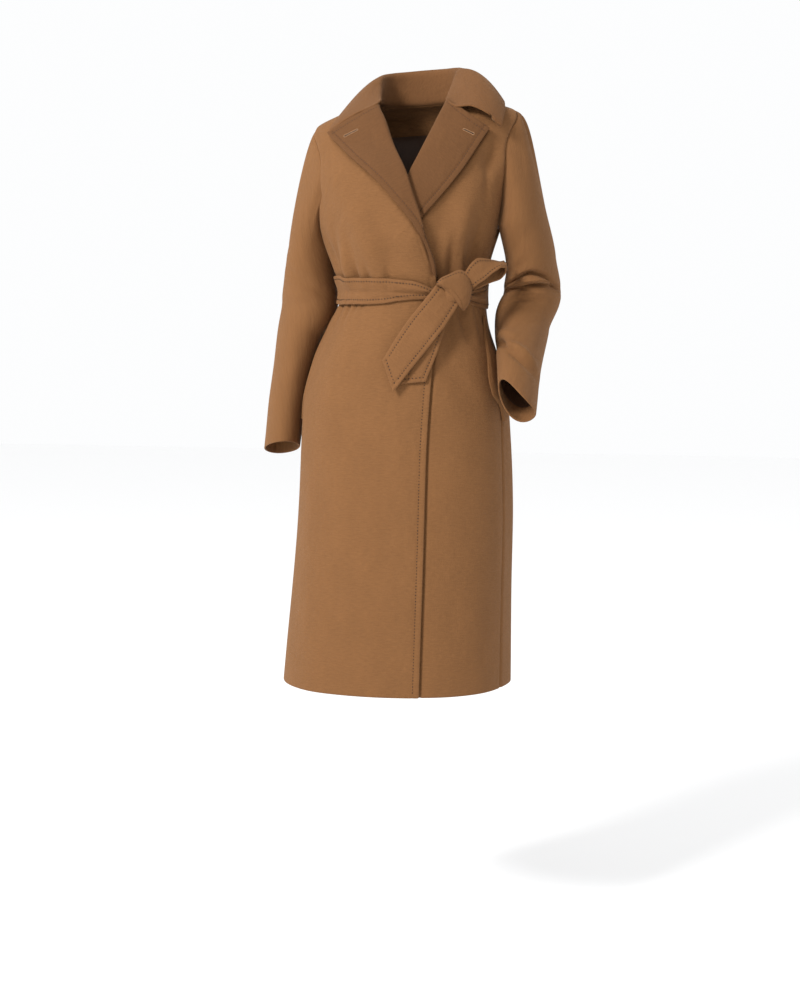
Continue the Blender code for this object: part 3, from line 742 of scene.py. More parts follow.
# Widest reach in degrees, and how far up the armhole it lies
ARMHOLE_FRONT = {1: (28.0, 1.8), -1: (40.0, 1.27)}
ARMHOLE_BACK = (30.0, 1.0)
ARMHOLE_ROUND = 0.7
SIDE_SEAM = 12.0
SEAM_TURN = 0.20
SEAM_DIP = 0.0028
SEAM_DIP_WIDTH = 0.0030
EDGE_RECESS = 0.035
RECESS_RISE = 0.03
GROOVE = 0.0042
GROOVE_WIDTH = 0.0028
GROOVE_POINTS = 240
EDGE_STEP = 0.0020
PANEL_COLUMNS = 112
BACK_COLUMNS = 110
SKIRT_ROWS = 190
ARMHOLE_ROWS = 52
SHOULDER_ROWS = 18


def armhole_share(steps):
    """Shares of the armhole's height, closer together at its two ends."""
    even = np.linspace(0, 1, steps + 1)
    return even - 0.5 * np.sin(2 * math.pi * even) / (2 * math.pi)


def armhole_reach(height, shape):
    """Angle from the side to the edge of the armhole at a height."""
    share = np.clip((height - UNDERARM) / (SHOULDER_TIP - UNDERARM), 0, 1)
    return math.radians(shape[0]) * np.sin(math.pi * share ** shape[1]) ** ARMHOLE_ROUND


def side_edge(height, reach):
    """Angle from the side to a front's outer edge: side seam, armhole and shoulder seam."""
    seam = math.radians(SIDE_SEAM) * (1 - ease(height, UNDERARM - SEAM_TURN, UNDERARM))
    return seam + armhole_reach(height, reach)


def panel_heights():
    """Heights of a panel's rows, from the hem to the neckline."""
    skirt = np.linspace(HEM, UNDERARM, SKIRT_ROWS)[:-1]
    armhole = UNDERARM + (SHOULDER_TIP - UNDERARM) * armhole_share(ARMHOLE_ROWS)
    shoulder = np.linspace(SHOULDER_TIP, NECK, SHOULDER_ROWS)[1:]
    return np.concatenate((skirt, armhole, shoulder))


def spread(outer_edge, inner_edge, seam, columns):
    """Angles of a panel's columns, squeezed together only where the armhole cuts in."""
    share = np.linspace(0, 1, columns + 1)
    even = seam + (inner_edge - seam)[:, None] * share
    return even + (outer_edge - seam)[:, None] * (1 - share) ** 2


def seam_dip(grid, sides):
    """How far the cloth dips near its seams; sides names the grid's sewn sides."""
    nearest = np.min([from_side(cloth_uv(from_side(grid, side)), side)[..., 0]
                      for side in sides], axis=0)
    return -SEAM_DIP * np.exp(-(nearest / SEAM_DIP_WIDTH) ** 2)


def groove(grid, path):
    """How far the cloth is pressed in beside the edge of a lapel that lies on it."""
    apart = np.linalg.norm(grid[:, :, None] - path[None, None], axis=-1).min(axis=-1)
    return -GROOVE * np.exp(-(apart / GROOVE_WIDTH) ** 2)


def panel_wall(height):
    """Thickness of a panel: more at the hem, where the cloth is turned up."""
    return CLOTH + HEM_EXTRA * ease(HEM + HEM_TURN_UP - height, -0.002, 0.004)


def lift_at(across, height, right):
    """How far the front under a lapel lies off the form; only the right one laps over."""
    return over_lift(angle_at(across, height), height) if right else 0.0


def make_front(name, node, roll, edge, lapel, right):
    """A front, from its side seam to its front edge or to the roll of its lapel."""
    heights = panel_heights()
    recess = EDGE_RECESS * ease(heights, BREAK, BREAK + RECESS_RISE) * (1 if right else -1)
    inner_edge = front_edge(roll, edge, heights) + recess
    outer_edge = side_edge(heights, ARMHOLE_FRONT[-1 if right else 1])
    if right:
        outer_edge = math.pi - outer_edge
    angle = spread(outer_edge, inner_edge, outer_edge[0], PANEL_COLUMNS)
    height = heights[:, None] + 0 * angle
    lift = over_lift(angle, height) if right else 0 * angle
    grid = body(angle, height, lift)
    level = np.linspace(lapel[0, 0], lapel[-1, 0], GROOVE_POINTS)
    across = run_through(lapel, level)[:, 0]
    pressed = groove(grid, on_front(across, level, lift_at(across, level, right)))
    if not right:
        level = np.linspace(EDGE_RIGHT[0, 0], EDGE_RIGHT[-1, 0], 2 * GROOVE_POINTS)
        across = run_through(EDGE_RIGHT, level)[:, 0] + EDGE_STEP
        pressed = np.minimum(pressed, groove(grid, on_front(across, level, 0.0)))
    grid = body(angle, height, lift + pressed + seam_dip(grid, ("first",)))
    if right:
        grid = press_rows(grid, ("last",), EDGE_INSET)
    run = cloth_uv(grid)[..., 0]
    from_edge = run[:, -1:] - run

    def back_finish(row, column):
        return np.where(from_edge[row, column] < FACING, 0, 1)

    return dress(name, node, "wool", grid, panel_wall(height), [wool, lining], "hung", ["back"],
                 inward=-1 if right else 1, back_finish=back_finish)


def make_back():
    """The back, from side seam to side seam."""
    heights = panel_heights()
    seam = side_edge(heights, (0.0, 1.0))
    edge = armhole_reach(heights, ARMHOLE_BACK) - seam
    left, right = -edge, -math.pi + edge
    share = np.linspace(0, 1, BACK_COLUMNS + 1)
    squeeze = (1 - share) ** 4
    angle = left[0] + (right[0] - left[0]) * share + (left - left[0])[:, None] * squeeze
    angle = angle + (right - right[0])[:, None] * squeeze[::-1]
    height = heights[:, None] + 0 * angle
    grid = body(angle, height)
    grid = body(angle, height, seam_dip(grid, ("first", "last")))

    def back_finish(row, column):
        return np.where(heights[row] > NECK - NECK_FACING, 0, 1)

    dress("back_panel", "back", "wool", grid, panel_wall(height), [wool, lining], "hung",
          ["front_right", "front_left"], inward=-1, back_finish=back_finish)


front_right_grid = make_front("front_panel_right", "front_right", ROLL_RIGHT, EDGE_RIGHT,
                              LAPEL_RIGHT, True)
make_front("front_panel_left", "front_left", ROLL_LEFT, EDGE_LEFT, LAPEL_LEFT, False)
make_back()

# %% [markdown]
# ## Lapels
#
# A lapel is the upper front turned back on itself. The cloth isn't creased there: it rolls, and
# the roll is fuller near the collar than at the break, where the belt holds it flat. So each
# lapel is one strip that begins inside the front, goes round its edge in an arc, and then lies
# over the chest. Its middle stands a little off the chest and its edge comes back down, as
# the canvas inside makes it. The strip is read off the form, so it follows the chest's folds.

# %% Lapels
LAPEL_CLOTH = 0.0028
FACING_CLOTH = 0.0022
LAY_GAP = 0.0014
EDGE_STAND = 0.0018
TIP_STAND = 0.0050
ROLL_FULLNESS = 0.0010
NECK_FULLNESS = 0.0040
GORGE = -0.0165
BREAK_DROP = 0.004
OVERLAP_TOP = -0.10
# Rows lie closer together at the top, and columns at the roll
LAPEL_DOWN = np.linspace(0, 1, 120)
DOWN_POWER = 0.9
LAPEL_ACROSS = np.linspace(0, 1, 57) ** 1.15
ROLL_STEPS = 10
ROLL_EASE = 0.001
ROLL_FLATNESS = 0.9
TUCK = 0.014
SHIFT_SHARE = 0.25
SHIFT_COLUMNS = 26
BELLY = 0.0022


def lapel_places(roll, outer_edge, down, share):
    """Heights and distances across of a lapel's points, from the roll line to the edge."""
    roll_height = GORGE + (BREAK - BREAK_DROP - GORGE) * down
    edge_height = outer_edge[0, 0] + (outer_edge[-1, 0] - outer_edge[0, 0]) * down
    roll_across = run_through(roll, roll_height)[:, 0]
    edge_across = run_through(outer_edge, edge_height)[:, 0]
    height = roll_height[:, None] + (edge_height - roll_height)[:, None] * share
    across = roll_across[:, None] + (edge_across - roll_across)[:, None] * share
    return height, across


def lapel_lift(down, share):
    """How far a lapel's face stands off the front."""
    near_top = 1 - ease(down, 0.1, 0.4)
    lift = LAY_GAP + LAPEL_CLOTH + (ROLL_FULLNESS + NECK_FULLNESS * (1 - share)) * near_top
    stand = EDGE_STAND * (1 - ease(down, 0.5, 0.75)) + TIP_STAND * (1 - ease(down, 0.0, 0.6))
    belly = BELLY * np.sin(math.pi * share ** 0.8) * (1 - ease(down, 0.4, 0.7))
    return lift + stand * share + belly


def lapel_surface(roll, outer_edge, right, share, down=LAPEL_DOWN):
    """Points of a lapel's face at shares across it and down it."""
    down = down ** DOWN_POWER
    height, across = lapel_places(roll, outer_edge, down, share)
    lift = lapel_lift(down[:, None], share) + lift_at(across, height, right)
    return on_front(across, height, lift, fine=0.5)


def make_lapel(name, node, roll, outer_edge, right):
    """One strip: tucked inside the front, round the roll and over the chest."""
    face = lapel_surface(roll, outer_edge, right, LAPEL_ACROSS)
    start = face[:, 0]
    aside = unit(face[:, 0] - face[:, 1])
    downward = unit(np.gradient(start, axis=0))
    inward = unit(np.cross(aside, downward)) * (1 if right else -1)
    radius = (lapel_lift(LAPEL_DOWN[:, None] ** DOWN_POWER, 0.0) + CLOTH + ROLL_EASE) / 2
    curl = []
    for step in range(ROLL_STEPS, 0, -1):
        turn = math.pi * step / ROLL_STEPS
        curl.append(start + aside * radius * (math.sin(turn) * ROLL_FLATNESS)
                    + inward * radius * (1 - math.cos(turn)))
    tuck_end = curl[0] - aside * TUCK
    tuck = [tuck_end + (curl[0] - tuck_end) * f for f in (0.0, 0.5)]
    grid = np.concatenate([np.stack(tuck + curl, axis=1), face], axis=1)
    width = np.linalg.norm(face[:, -1] - face[:, 0], axis=-1, keepdims=True)
    shift = aside * np.minimum(radius * ROLL_FLATNESS, width * SHIFT_SHARE)
    fade = 1 - ease(np.arange(grid.shape[1]), ROLL_STEPS, ROLL_STEPS + SHIFT_COLUMNS)
    grid = grid - shift[:, None] * fade[None, :, None]
    grid = press_rows(grid, ("last", "top"), LAPEL_INSET)
    if not right:
        level = np.linspace(OVERLAP_TOP, ROLL_RIGHT[-1, 0], GROOVE_POINTS)
        across = run_through(ROLL_RIGHT, level)[:, 0] + EDGE_STEP
        beside = groove(grid, on_front(across, level, LAY_GAP + LAPEL_CLOTH))
        grid = grid + unit(grid * (1, 1, 0)) * beside[..., None]
    # The lapel facing wears the wool painted darker: painted shade.
    return dress(name, node, "wool_collar", grid, FACING_CLOTH, [lapel_wool_painted_shade], "folded",
                 ["front_panel_right" if right else "front_panel_left"],
                 inward=-1 if right else 1)


lapel_right_grid = make_lapel("lapel_facing_right", "lapel_right", ROLL_RIGHT, LAPEL_RIGHT, True)
lapel_left_grid = make_lapel("lapel_facing_left", "lapel_left", ROLL_LEFT, LAPEL_LEFT, False)

# %% [markdown]
# ## Collar
#
# The collar is one band of cloth that stands up round the neck, rolls over and falls outward.
# Nine rows give, at each angle round the neck, how high it stands, where the middle of its fall
# passes and where its edge ends. A curve through those three places gives each profile, and the
# table's cubic joins the profiles into one surface. The two ends lie on the lapels, so they are
# drawn as profiles of their own, and the collar passes into them softly.

# %% Collar
# turn, stand, mid_x, mid_y, mid_z, edge_x, edge_y, edge_z
COLLAR = np.array([
    (34, 0.004, 0.112, -0.074, -0.018, 0.156, -0.090, -0.058),
    (18, 0.025, 0.120, -0.052, 0.008, 0.159, -0.060, -0.036),
    (0, 0.044, 0.106, -0.006, 0.038, 0.148, -0.006, -0.008),
    (-45, 0.056, 0.078, 0.070, 0.040, 0.108, 0.092, -0.002),
    (-90, 0.058, 0.000, 0.102, 0.040, 0.000, 0.124, -0.010),
    (-135, 0.056, -0.078, 0.070, 0.034, -0.106, 0.090, -0.008),
    (-180, 0.046, -0.097, 0.002, 0.022, -0.136, 0.006, -0.018),
    (-200, 0.026, -0.094, -0.042, -0.002, -0.132, -0.050, -0.036),
    (-219, 0.003, -0.094, -0.070, -0.020, -0.142, -0.084, -0.048),
])
# Profiles of the two ends, where the collar lies on the lapels: x, y, z in millimetres
COLLAR_END_LEFT = np.array([
    (63, -71, -9), (68, -80, -15), (76.5, -86, -21.5), (87, -88.5, -25), (106.5, -89, -24),
    (134.5, -89, -35), (160, -78, -55.5),
])
COLLAR_END_RIGHT = np.array([
    (-50.5, -70.5, -11), (-52, -77.5, -14.5), (-60.5, -82, -20), (-70.5, -84, -24.5),
    (-87, -87.5, -31.5), (-110, -87, -43.5), (-136, -83, -60.5),
])
END_SHARES = np.array((-0.16, 0.0, 0.12, 0.26, 0.50, 0.76, 1.0))
# Angles at which the collar begins to pass into them
END_STARTS = (12, -196)
MILLIMETRE = 0.001
SEAM_GAP = 0.0005
COLLAR_CLOTH = 0.0032
COLLAR_STATIONS = 170
STAND_COLUMNS = 14
FALL_COLUMNS = 40


def collar_profiles(stations, fall_shares, stand_shares):
    """Profiles of the collar round the neck, each from its seam up, over and down to its edge."""
    profiles = []
    f = fall_shares[:, None]
    for angle, row in zip(np.radians(stations), run_through(COLLAR, stations)):
        stand, mid, edge = row[0], row[1:4], row[4:7]
        standing = body(angle, NECK + SEAM_GAP + stand * stand_shares, fine=0.0)
        top = body(angle, NECK + SEAM_GAP + stand, fine=0.0)
        control = 2 * mid - (top + edge) / 2
        falling = (1 - f) ** 2 * top + 2 * f * (1 - f) * control + f * f * edge
        profiles.append(np.vstack((standing, falling)))
    profiles = np.array(profiles)
    at = np.concatenate(((stand_shares - 1) * -END_SHARES[0], fall_shares))
    for end, weight in ((COLLAR_END_LEFT, ease(stations, END_STARTS[0], COLLAR[0, 0])),
                        (COLLAR_END_RIGHT, ease(stations, END_STARTS[1], COLLAR[-1, 0]))):
        last = run_through(np.column_stack((END_SHARES, end)), at) * MILLIMETRE
        profiles += (last - profiles) * weight[:, None, None]
    return profiles


def make_collar():
    stations = np.linspace(COLLAR[0, 0], COLLAR[-1, 0], COLLAR_STATIONS)
    stand_shares = np.linspace(0, 0.9, STAND_COLUMNS)
    fall_shares = np.linspace(0, 1, FALL_COLUMNS + 1)[2:]
    # The collar wears the wool painted darker: painted shade.
    dress("collar_cloth", "collar", "wool_collar",
          collar_profiles(stations, fall_shares, stand_shares), COLLAR_CLOTH, [wool_collar],
          "folded", ["front_panel_right", "front_panel_left", "back_panel"])


make_collar()

# %% [markdown]
# ## Sleeves
#
# A sleeve is a tube that is sewn into the armhole. Its first ring is the armhole itself, read
# off the form, and a short curve carries each point of that ring into the tube, which gives
# the rounded sleeve head. The right sleeve hangs straight. The left one bends at the elbow,
# so its cloth is pushed together inside the bend and drawn tight outside it: rows of short
# troughs across the tube give those creases, and they fade out round the sleeve.

# %% Sleeves
# centre_x, centre_y, centre_z, half_side, half_depth
SLEEVE_RIGHT = np.array([
    (-0.1950, 0.012, -0.252, 0.0410, 0.066),
    (-0.1995, 0.012, -0.300, 0.0460, 0.064),
    (-0.2020, 0.011, -0.352, 0.0535, 0.062),
    (-0.2195, 0.009, -0.400, 0.0450, 0.060),
    (-0.2340, 0.008, -0.470, 0.0380, 0.057),
    (-0.2445, 0.003, -0.540, 0.0360, 0.055),
    (-0.2520, -0.002, -0.609, 0.0350, 0.053),
])
SLEEVE_LEFT = np.array([
    (0.1785, 0.016, -0.200, 0.0420, 0.067),
    (0.1910, 0.040, -0.275, 0.0430, 0.066),
    (0.1920, 0.054, -0.330, 0.0500, 0.062),
    (0.1770, 0.036, -0.385, 0.0480, 0.060),
    (0.1850, -0.040, -0.450, 0.0370, 0.055),
    (0.1940, -0.102, -0.505, 0.0310, 0.052),
])
# How far the cuff's end is drawn on along the arm, in metres: all round, more on the outside,
# more on the front, more between those two and opposite them
CUFF_SLANT_RIGHT = (-0.004, 0.007, -0.0115, 0.0)
CUFF_SLANT_LEFT = (0.0165, 0.022, 0.005, 0.009)
CUFF_REACH = (0.60, 1.0)
# Creases: along (0 biceps, 1 cuff), round in degrees (0 outside, 90 front), half length in
# degrees, rise, width along, slant over the half length, bend over it, in metres
SLEEVE_CREASES_LEFT = np.array([
    (0.228, 80, 60, -0.0170, 0.0064, 0.0000, 0.045),
    (0.266, 82, 60, 0.0066, 0.0058, 0.0000, 0.040),
    (0.322, 66, 56, -0.0135, 0.0056, 0.0040, 0.016),
    (0.352, 16, 30, -0.0060, 0.0064, -0.0050, 0),
    (0.392, 116, 40, -0.0090, 0.0100, 0.0220, 0),
    (0.400, 70, 50, 0.0026, 0.0120, 0.004, 0),
    (0.540, 92, 46, -0.0040, 0.0130, 0.030, 0),
    (0.700, 70, 40, -0.0032, 0.0130, 0.014, 0),
    (0.780, 134, 34, -0.0150, 0.0085, -0.018, 0),
    (0.750, 112, 34, 0.0050, 0.0080, -0.006, 0),
    (0.815, 66, 58, 0.0070, 0.0065, -0.004, 0),
    (0.852, 62, 54, -0.0070, 0.0070, -0.004, 0),
    (0.200, 120, 46, -0.0024, 0.0120, 0.022, 0),
    (0.080, 95, 50, -0.0018, 0.0140, 0.024, 0),
    (0.360, 250, 60, -0.0022, 0.0120, 0.010, 0),
    (0.460, 240, 60, -0.0018, 0.0120, -0.010, 0),
])
SLEEVE_CREASES_RIGHT = np.array([
    (0.16, 70, 50, -0.0022, 0.0120, 0.020, 0),
    (0.24, 110, 56, -0.0026, 0.0110, 0.026, 0),
    (0.33, 80, 44, -0.0016, 0.0120, -0.018, 0),
    (0.44, 105, 60, -0.0018, 0.0160, 0.024, 0),
    (0.62, 75, 50, -0.0013, 0.0180, -0.020, 0),
    (0.20, 250, 60, -0.0022, 0.0120, 0.020, 0),
    (0.30, 235, 60, -0.0022, 0.0130, -0.018, 0),
    (0.50, 250, 60, -0.0014, 0.0160, 0.020, 0),
    (0.80, 100, 60, -0.0012, 0.0200, 0.016, 0),
])
SLEEVE_CLOTH = 0.0028
CAP_FULLNESS = 0.16
HEAD_FULLNESS = {1: 0.34, -1: 0.20}
HEAD_RISE = 0.10
LINING_DEPTH = 0.0055
# Rows over which the lining sinks in from the armhole and comes up to the cuff's facing
LINING_SINKS = (2, 14)
LINING_RISES = (12, 26)
CUFF_FACING_ROWS = 14
HEAD_ROW_POWER = 1.15
CREASE_FADE = 1.6
# A slow wave of the cloth between the creases
SLOW_WAVE = 0.0012
RING_SOFTNESS = 34
CAP_FALL = 0.9
SLEEVE_INSET = 0.010
# How far the front of a sleeve leans towards the body, as a share of its depth, and where
SLEEVE_LEAN = {1: 0.0, -1: 0.22}
LEAN_REACH = (0.04, 0.50)
SLEEVE_CAP_ROWS = 44
SLEEVE_ROWS = 150
SLEEVE_HALF_STEPS = 48


def soften(vectors, reach):
    """Directions averaged with their neighbours, so that rings in a bend don't cross."""
    padded = np.pad(vectors, ((reach, reach), (0, 0)), mode="edge")
    weights = 1 + np.cos(np.linspace(-math.pi, math.pi, 2 * reach + 1))
    smooth = [np.convolve(part, weights / weights.sum(), mode="valid") for part in padded.T]
    return unit(np.array(smooth).T)


def sleeve_tube(table, side, creases, slant):
    """Rings of a sleeve from the armhole to the cuff; side is +1 for the left, -1 for right."""
    count = 2 * SLEEVE_HALF_STEPS
    around = np.linspace(0, 2 * math.pi, count, endpoint=False)
    up = armhole_share(SLEEVE_HALF_STEPS)
    share = np.concatenate((up[::-1], up[1:-1]))
    is_front = np.arange(count) <= SLEEVE_HALF_STEPS
    height = UNDERARM + (SHOULDER_TIP - UNDERARM) * share
    angle = np.where(is_front, armhole_reach(height, ARMHOLE_FRONT[side]),
                     -armhole_reach(height, ARMHOLE_BACK))
    angle = angle * (1 - SLEEVE_INSET)
    middle = (UNDERARM + SHOULDER_TIP) / 2
    height = middle + (height - middle) * (1 - SLEEVE_INSET / 2)
    if side < 0:
        angle = math.pi - angle
    armhole = body(angle, height, -SEAM_DIP)

    rings = along(table, SLEEVE_ROWS)
    centres = rings[:, :3]
    tangent = soften(unit(np.gradient(centres, axis=0)), RING_SOFTNESS)
    forward = np.array((0.0, -1.0, 0.0))
    front = unit(forward - (tangent @ forward)[:, None] * tangent)
    outward = unit(np.cross(front, tangent)) * side
    outward = outward * np.sign(outward[:, :1] * side)
    down = np.linspace(0, 1, SLEEVE_ROWS)
    half_side, half_depth = rings[:, 3:4], rings[:, 4:5]
    lean = half_depth * SLEEVE_LEAN[side] * ease(down, *LEAN_REACH)[:, None]
    aside = np.sqrt(half_side ** 2 - lean ** 2) * np.cos(around) - lean * np.sin(around)
    ahead = half_depth * np.sin(around)
    ray = outward[:, None] * aside[..., None] + front[:, None] * ahead[..., None]
    push = slant[0] + slant[1] * np.cos(around) + slant[2] * np.sin(around)
    push = push + slant[3] * np.sin(2 * around)
    drawn = ease(down, *CUFF_REACH)[:, None] * push
    tube = centres[:, None] + ray + tangent[:, None] * drawn[..., None]

    drop = np.linalg.norm(tube[0] - armhole, axis=-1, keepdims=True)
    full = CAP_FULLNESS + (HEAD_FULLNESS[side] - CAP_FULLNESS) * share[:, None] ** 6
    leave = np.array((side * 1.0, 0.0, HEAD_RISE)) * drop * full
    arrive = tangent[0] * drop * CAP_FALL
    cap = [hermite(f, armhole, leave, tube[0], arrive)
           for f in np.linspace(0, 1, SLEEVE_CAP_ROWS + 1)[:-1] ** HEAD_ROW_POWER]
    grid = np.concatenate((cap, tube))
    return grid, *crease_tube(grid, creases, around, side)


def crease_tube(grid, creases, around, side):
    """Press a table of creases into a sleeve."""
    normals = grid_normals(grid, ring=True) * -side
    rows = np.arange(len(grid)) - SLEEVE_CAP_ROWS
    along_tube = rows / (SLEEVE_ROWS - 1)
    length = np.linalg.norm(np.diff(grid[SLEEVE_CAP_ROWS:].mean(axis=1), axis=0), axis=-1).sum()
    rise = np.zeros(grid.shape[:2])
    for place, turn, half, depth, width, slant, bend in creases:
        aside = (np.degrees(around) - turn + 180) % 360 - 180
        across = aside / half
        centre = place * length + slant * across + bend * across ** 2
        away = (along_tube[:, None] * length - centre[None]) / width
        fade = np.exp(-(across ** 2) * CREASE_FADE)[None]
        rise += depth * np.exp(-away ** 2) * fade
    slow = SLOW_WAVE * np.sin(2 * around + 0.6)[None] * np.sin(9 * along_tube + 1.1)[:, None]
    rise += slow * ease(along_tube, -0.1, 0.2)[:, None] * (1 - ease(along_tube, 0.8, 1.0))[:, None]
    return grid + normals * rise[..., None], rise


def make_sleeve(name, node, table, side, creases, slant):
    """A sleeve whose lining hangs smooth inside it, clear of the creases of the wool."""
    plain, grid, rise = sleeve_tube(table, side, creases, slant)
    row = np.arange(len(grid))[:, None]
    deep = LINING_DEPTH * ease(row, *LINING_SINKS) * ease(len(grid) - row, *LINING_RISES)
    deep = deep + np.maximum(-rise - LINING_DEPTH / 2, 0)
    inner = plain + grid_normals(plain, ring=True) * side * (SLEEVE_CLOTH + deep)[..., None]

    def back_finish(row, column):
        return np.where(row > len(grid) - CUFF_FACING_ROWS, 0, 1)

    dress(name, node, "wool", grid, SLEEVE_CLOTH, [wool, lining], "hung", ["back_panel"],
          ring=True, inward=-side, back_finish=back_finish, back=inner)


make_sleeve("sleeve_cloth_right", "sleeve_right", SLEEVE_RIGHT, -1, SLEEVE_CREASES_RIGHT,
            CUFF_SLANT_RIGHT)
make_sleeve("sleeve_cloth_left", "sleeve_left", SLEEVE_LEFT, 1, SLEEVE_CREASES_LEFT,
            CUFF_SLANT_LEFT)

# %% [markdown]
# ## Belt
#
# The belt is a tube of cloth pressed flat, about five centimetres wide. Round the back it lies
# at its full width; towards the knot it is pulled together, and beside the knot it wrinkles in
# a fan. Each stretch of it, the loop and the turns of the knot too, is a strip between two
# edges. A table holds both edges of a strip row by row, so it can twist and narrow freely.

# %% Belt band
# turn, top, bottom
BAND = np.array([
    (-270, -0.3075, -0.3490), (-263.5, -0.3055, -0.3530), (-249.5, -0.3035, -0.3555),
    (-213.5, -0.3000, -0.3530), (-180, -0.2990, -0.3500), (-90, -0.3030, -0.3550),
    (-20, -0.3120, -0.3580), (2, -0.3225, -0.3595), (20, -0.3290, -0.3555),
    (32, -0.3330, -0.3520), (45, -0.3300, -0.3490), (60, -0.3285, -0.3470),
    (65.5, -0.3260, -0.3470), (70.5, -0.3195, -0.3460), (77.5, -0.3120, -0.3460),
    (90, -0.3075, -0.3490),
])
# Wrinkles of the band: turn_from, height_from, turn_to, height_to, rise, width
BAND_FOLDS = np.array([
    (40, -0.338, 2, -0.331, -0.0036, 0.0030),
    (40, -0.341, 0, -0.343, 0.0030, 0.0034),
    (38, -0.345, 4, -0.352, -0.0036, 0.0032),
    (38, -0.334, 10, -0.326, 0.0022, 0.0028),
    (62, -0.340, 100, -0.332, -0.0030, 0.0036),
    (64, -0.333, 96, -0.318, 0.0016, 0.0044),
    (60, -0.343, 112, -0.346, -0.0022, 0.0050),
    (100, -0.334, 146, -0.328, -0.0014, 0.0060),
    (195, -0.330, 235, -0.326, -0.0014, 0.0050),
    (-60, -0.326, -20, -0.334, -0.0014, 0.0050),
    (36, -0.338, -34, -0.338, -0.0042, 0.0400),
])
BELT_CLOTH = 0.0040
BAND_CLOTH = 0.0036
BAND_PILLOW = 0.0022
BELT_GAP = 0.0020
# Angles at which the right front, which laps over, begins to lift the belt
LAP_START = 40
LAP_EASE = (30, 62)
BAND_STATIONS = 300
BAND_ROWS = 26


def waist_lift(angle, height):
    """Outer face of whatever the belt lies on."""
    turned = np.mod(angle, 2 * math.pi)
    lapped = (turned >= math.radians(LAP_START)) & (turned <= math.pi)
    return np.where(lapped, over_lift(turned, height), 0.0) * ease(turned, *np.radians(LAP_EASE))


def band_relief(angle, height):
    """Wrinkles of the band, each along a slanted line that fades out at its ends."""
    rise = np.zeros(np.broadcast(angle, height).shape)
    turned = (np.degrees(angle) + 90) % 360 - 90
    for start, first, end, last, depth, width in BAND_FOLDS:
        f = (turned - start) / (end - start)
        line = first + (last - first) * f
        fade = ease(f, -0.05, 0.25) * (1 - ease(f, 0.6, 1.05))
        rise += depth * fade * np.exp(-((height - line) / width) ** 2)
    return rise


def pillow(share, depth):
    """A pressed strip is fullest in the middle and a little thinner at its edges."""
    return depth * (1 - np.abs(2 * share - 1) ** 4)


def make_belt_band():
    """The stretch round the waist: a closed ring that starts and ends at the front."""
    turns = np.linspace(-270, 90, BAND_STATIONS, endpoint=False)
    top, bottom = run_through(BAND, turns).T
    angle = np.radians(turns)[None, :]
    share = np.linspace(0, 1, BAND_ROWS)[:, None]
    height = top + (bottom - top) * share
    base = waist_lift(angle + 0 * height, height) + BELT_GAP
    rise = band_relief(angle + 0 * height, height) + pillow(share, BAND_PILLOW)
    grid = body(angle, height, base + BELT_CLOTH + rise, fine=0.25)
    return dress("belt_round_waist", "belt_band", "wool_belt", grid, BAND_CLOTH, [wool_belt],
                 "gathered", ["front_panel_right", "back_panel"], ring=True, inward=-1)


band_grid = make_belt_band()

# %% [markdown]
# ## Knot, loop and ends
#
# The belt is tied in half a bow. One end comes round over the knot and down behind it; a second
# turn shows beside it, and a soft lump of cloth fills the middle. The turns are strips again,
# drawn in the knot's own directions: along the waist, up, and out from the body. Their middles
# bulge and their edges roll in, which is what cloth does when it is pulled round a core.

# %% Knot
KNOT_ANGLE = 51.5
KNOT_HEIGHT = -0.325
KNOT_RISE = 0.033
KNOT_CORE = (0.021, 0.012, 0.025)
# Edges of the turn that lies on top, from behind its upper side to behind its lower one:
# left_aside, left_up, left_out, right_aside, right_up, right_out, in millimetres
OVER_TURN = np.array([
    (-30.4, 5.3, 1, -33.2, 9.5, -1),
    (-27, 3.5, 11, -29.9, 16.9, 2),
    (-17.5, 1, 14, -12.3, 25.4, 0),
    (-7.4, -3.1, 15.5, 9, 32.6, -2),
    (0.5, -10.5, 16, 24.8, 23.2, -1),
    (4.9, -18.7, 14, 30.8, 5, 0),
    (7.3, -26.9, 10, 28.2, -12.6, 0),
    (9.2, -32.7, 3, 21.3, -25.9, -3),
    (12.5, -33.4, -8, 18.3, -31.7, -9),
])
UNDER_TURN = np.array([
    (-32.2, 7.1, -6, -25, 12.9, -4),
    (-28.3, 3.9, 5, -18.4, 9.4, 7),
    (-19.6, -3.8, 8, -7.1, 2.8, 10),
    (-8.2, -14.5, 8.5, 1.9, -7.9, 10),
    (2.6, -26.1, 6, 9, -20.3, 8),
    (9.3, -32.6, -2, 13, -30.1, 0),
    (12.9, -33.4, -9, 16.1, -31.7, -8),
])
TURN_CLOTH = 0.0032
CORE_RINGS = 14
CORE_SIDES = 28
CORE_SWELL = 0.06
TURN_SIZE = (60, 30)


def knot_frame():
    """The knot's middle and its own three directions: aside, up and out."""
    angle = math.radians(KNOT_ANGLE)
    centre = body(angle, KNOT_HEIGHT, KNOT_RISE, fine=0)
    out = unit(body(angle, WAIST, 0.01, fine=0) - body(angle, WAIST, fine=0))
    up = np.array((0.0, 0.0, 1.0))
    aside = unit(np.cross(up, out))
    return centre, np.stack((aside, unit(np.cross(out, aside)), out))


def strip_between(first_edge, second_edge, rows, columns, bulge, curl):
    """Grid of a strip between two edges, with a bulged middle and edges that roll in."""
    both = along(np.hstack((first_edge, second_edge)), rows)
    first, second = both[:, None, :3], both[:, None, 3:]
    share = np.linspace(0, 1, columns)[None, :, None]
    flat = first + (second - first) * share
    normals = grid_normals(flat)
    profile = bulge * np.sin(math.pi * share) - curl * np.abs(2 * share - 1) ** 6
    return flat + normals * profile


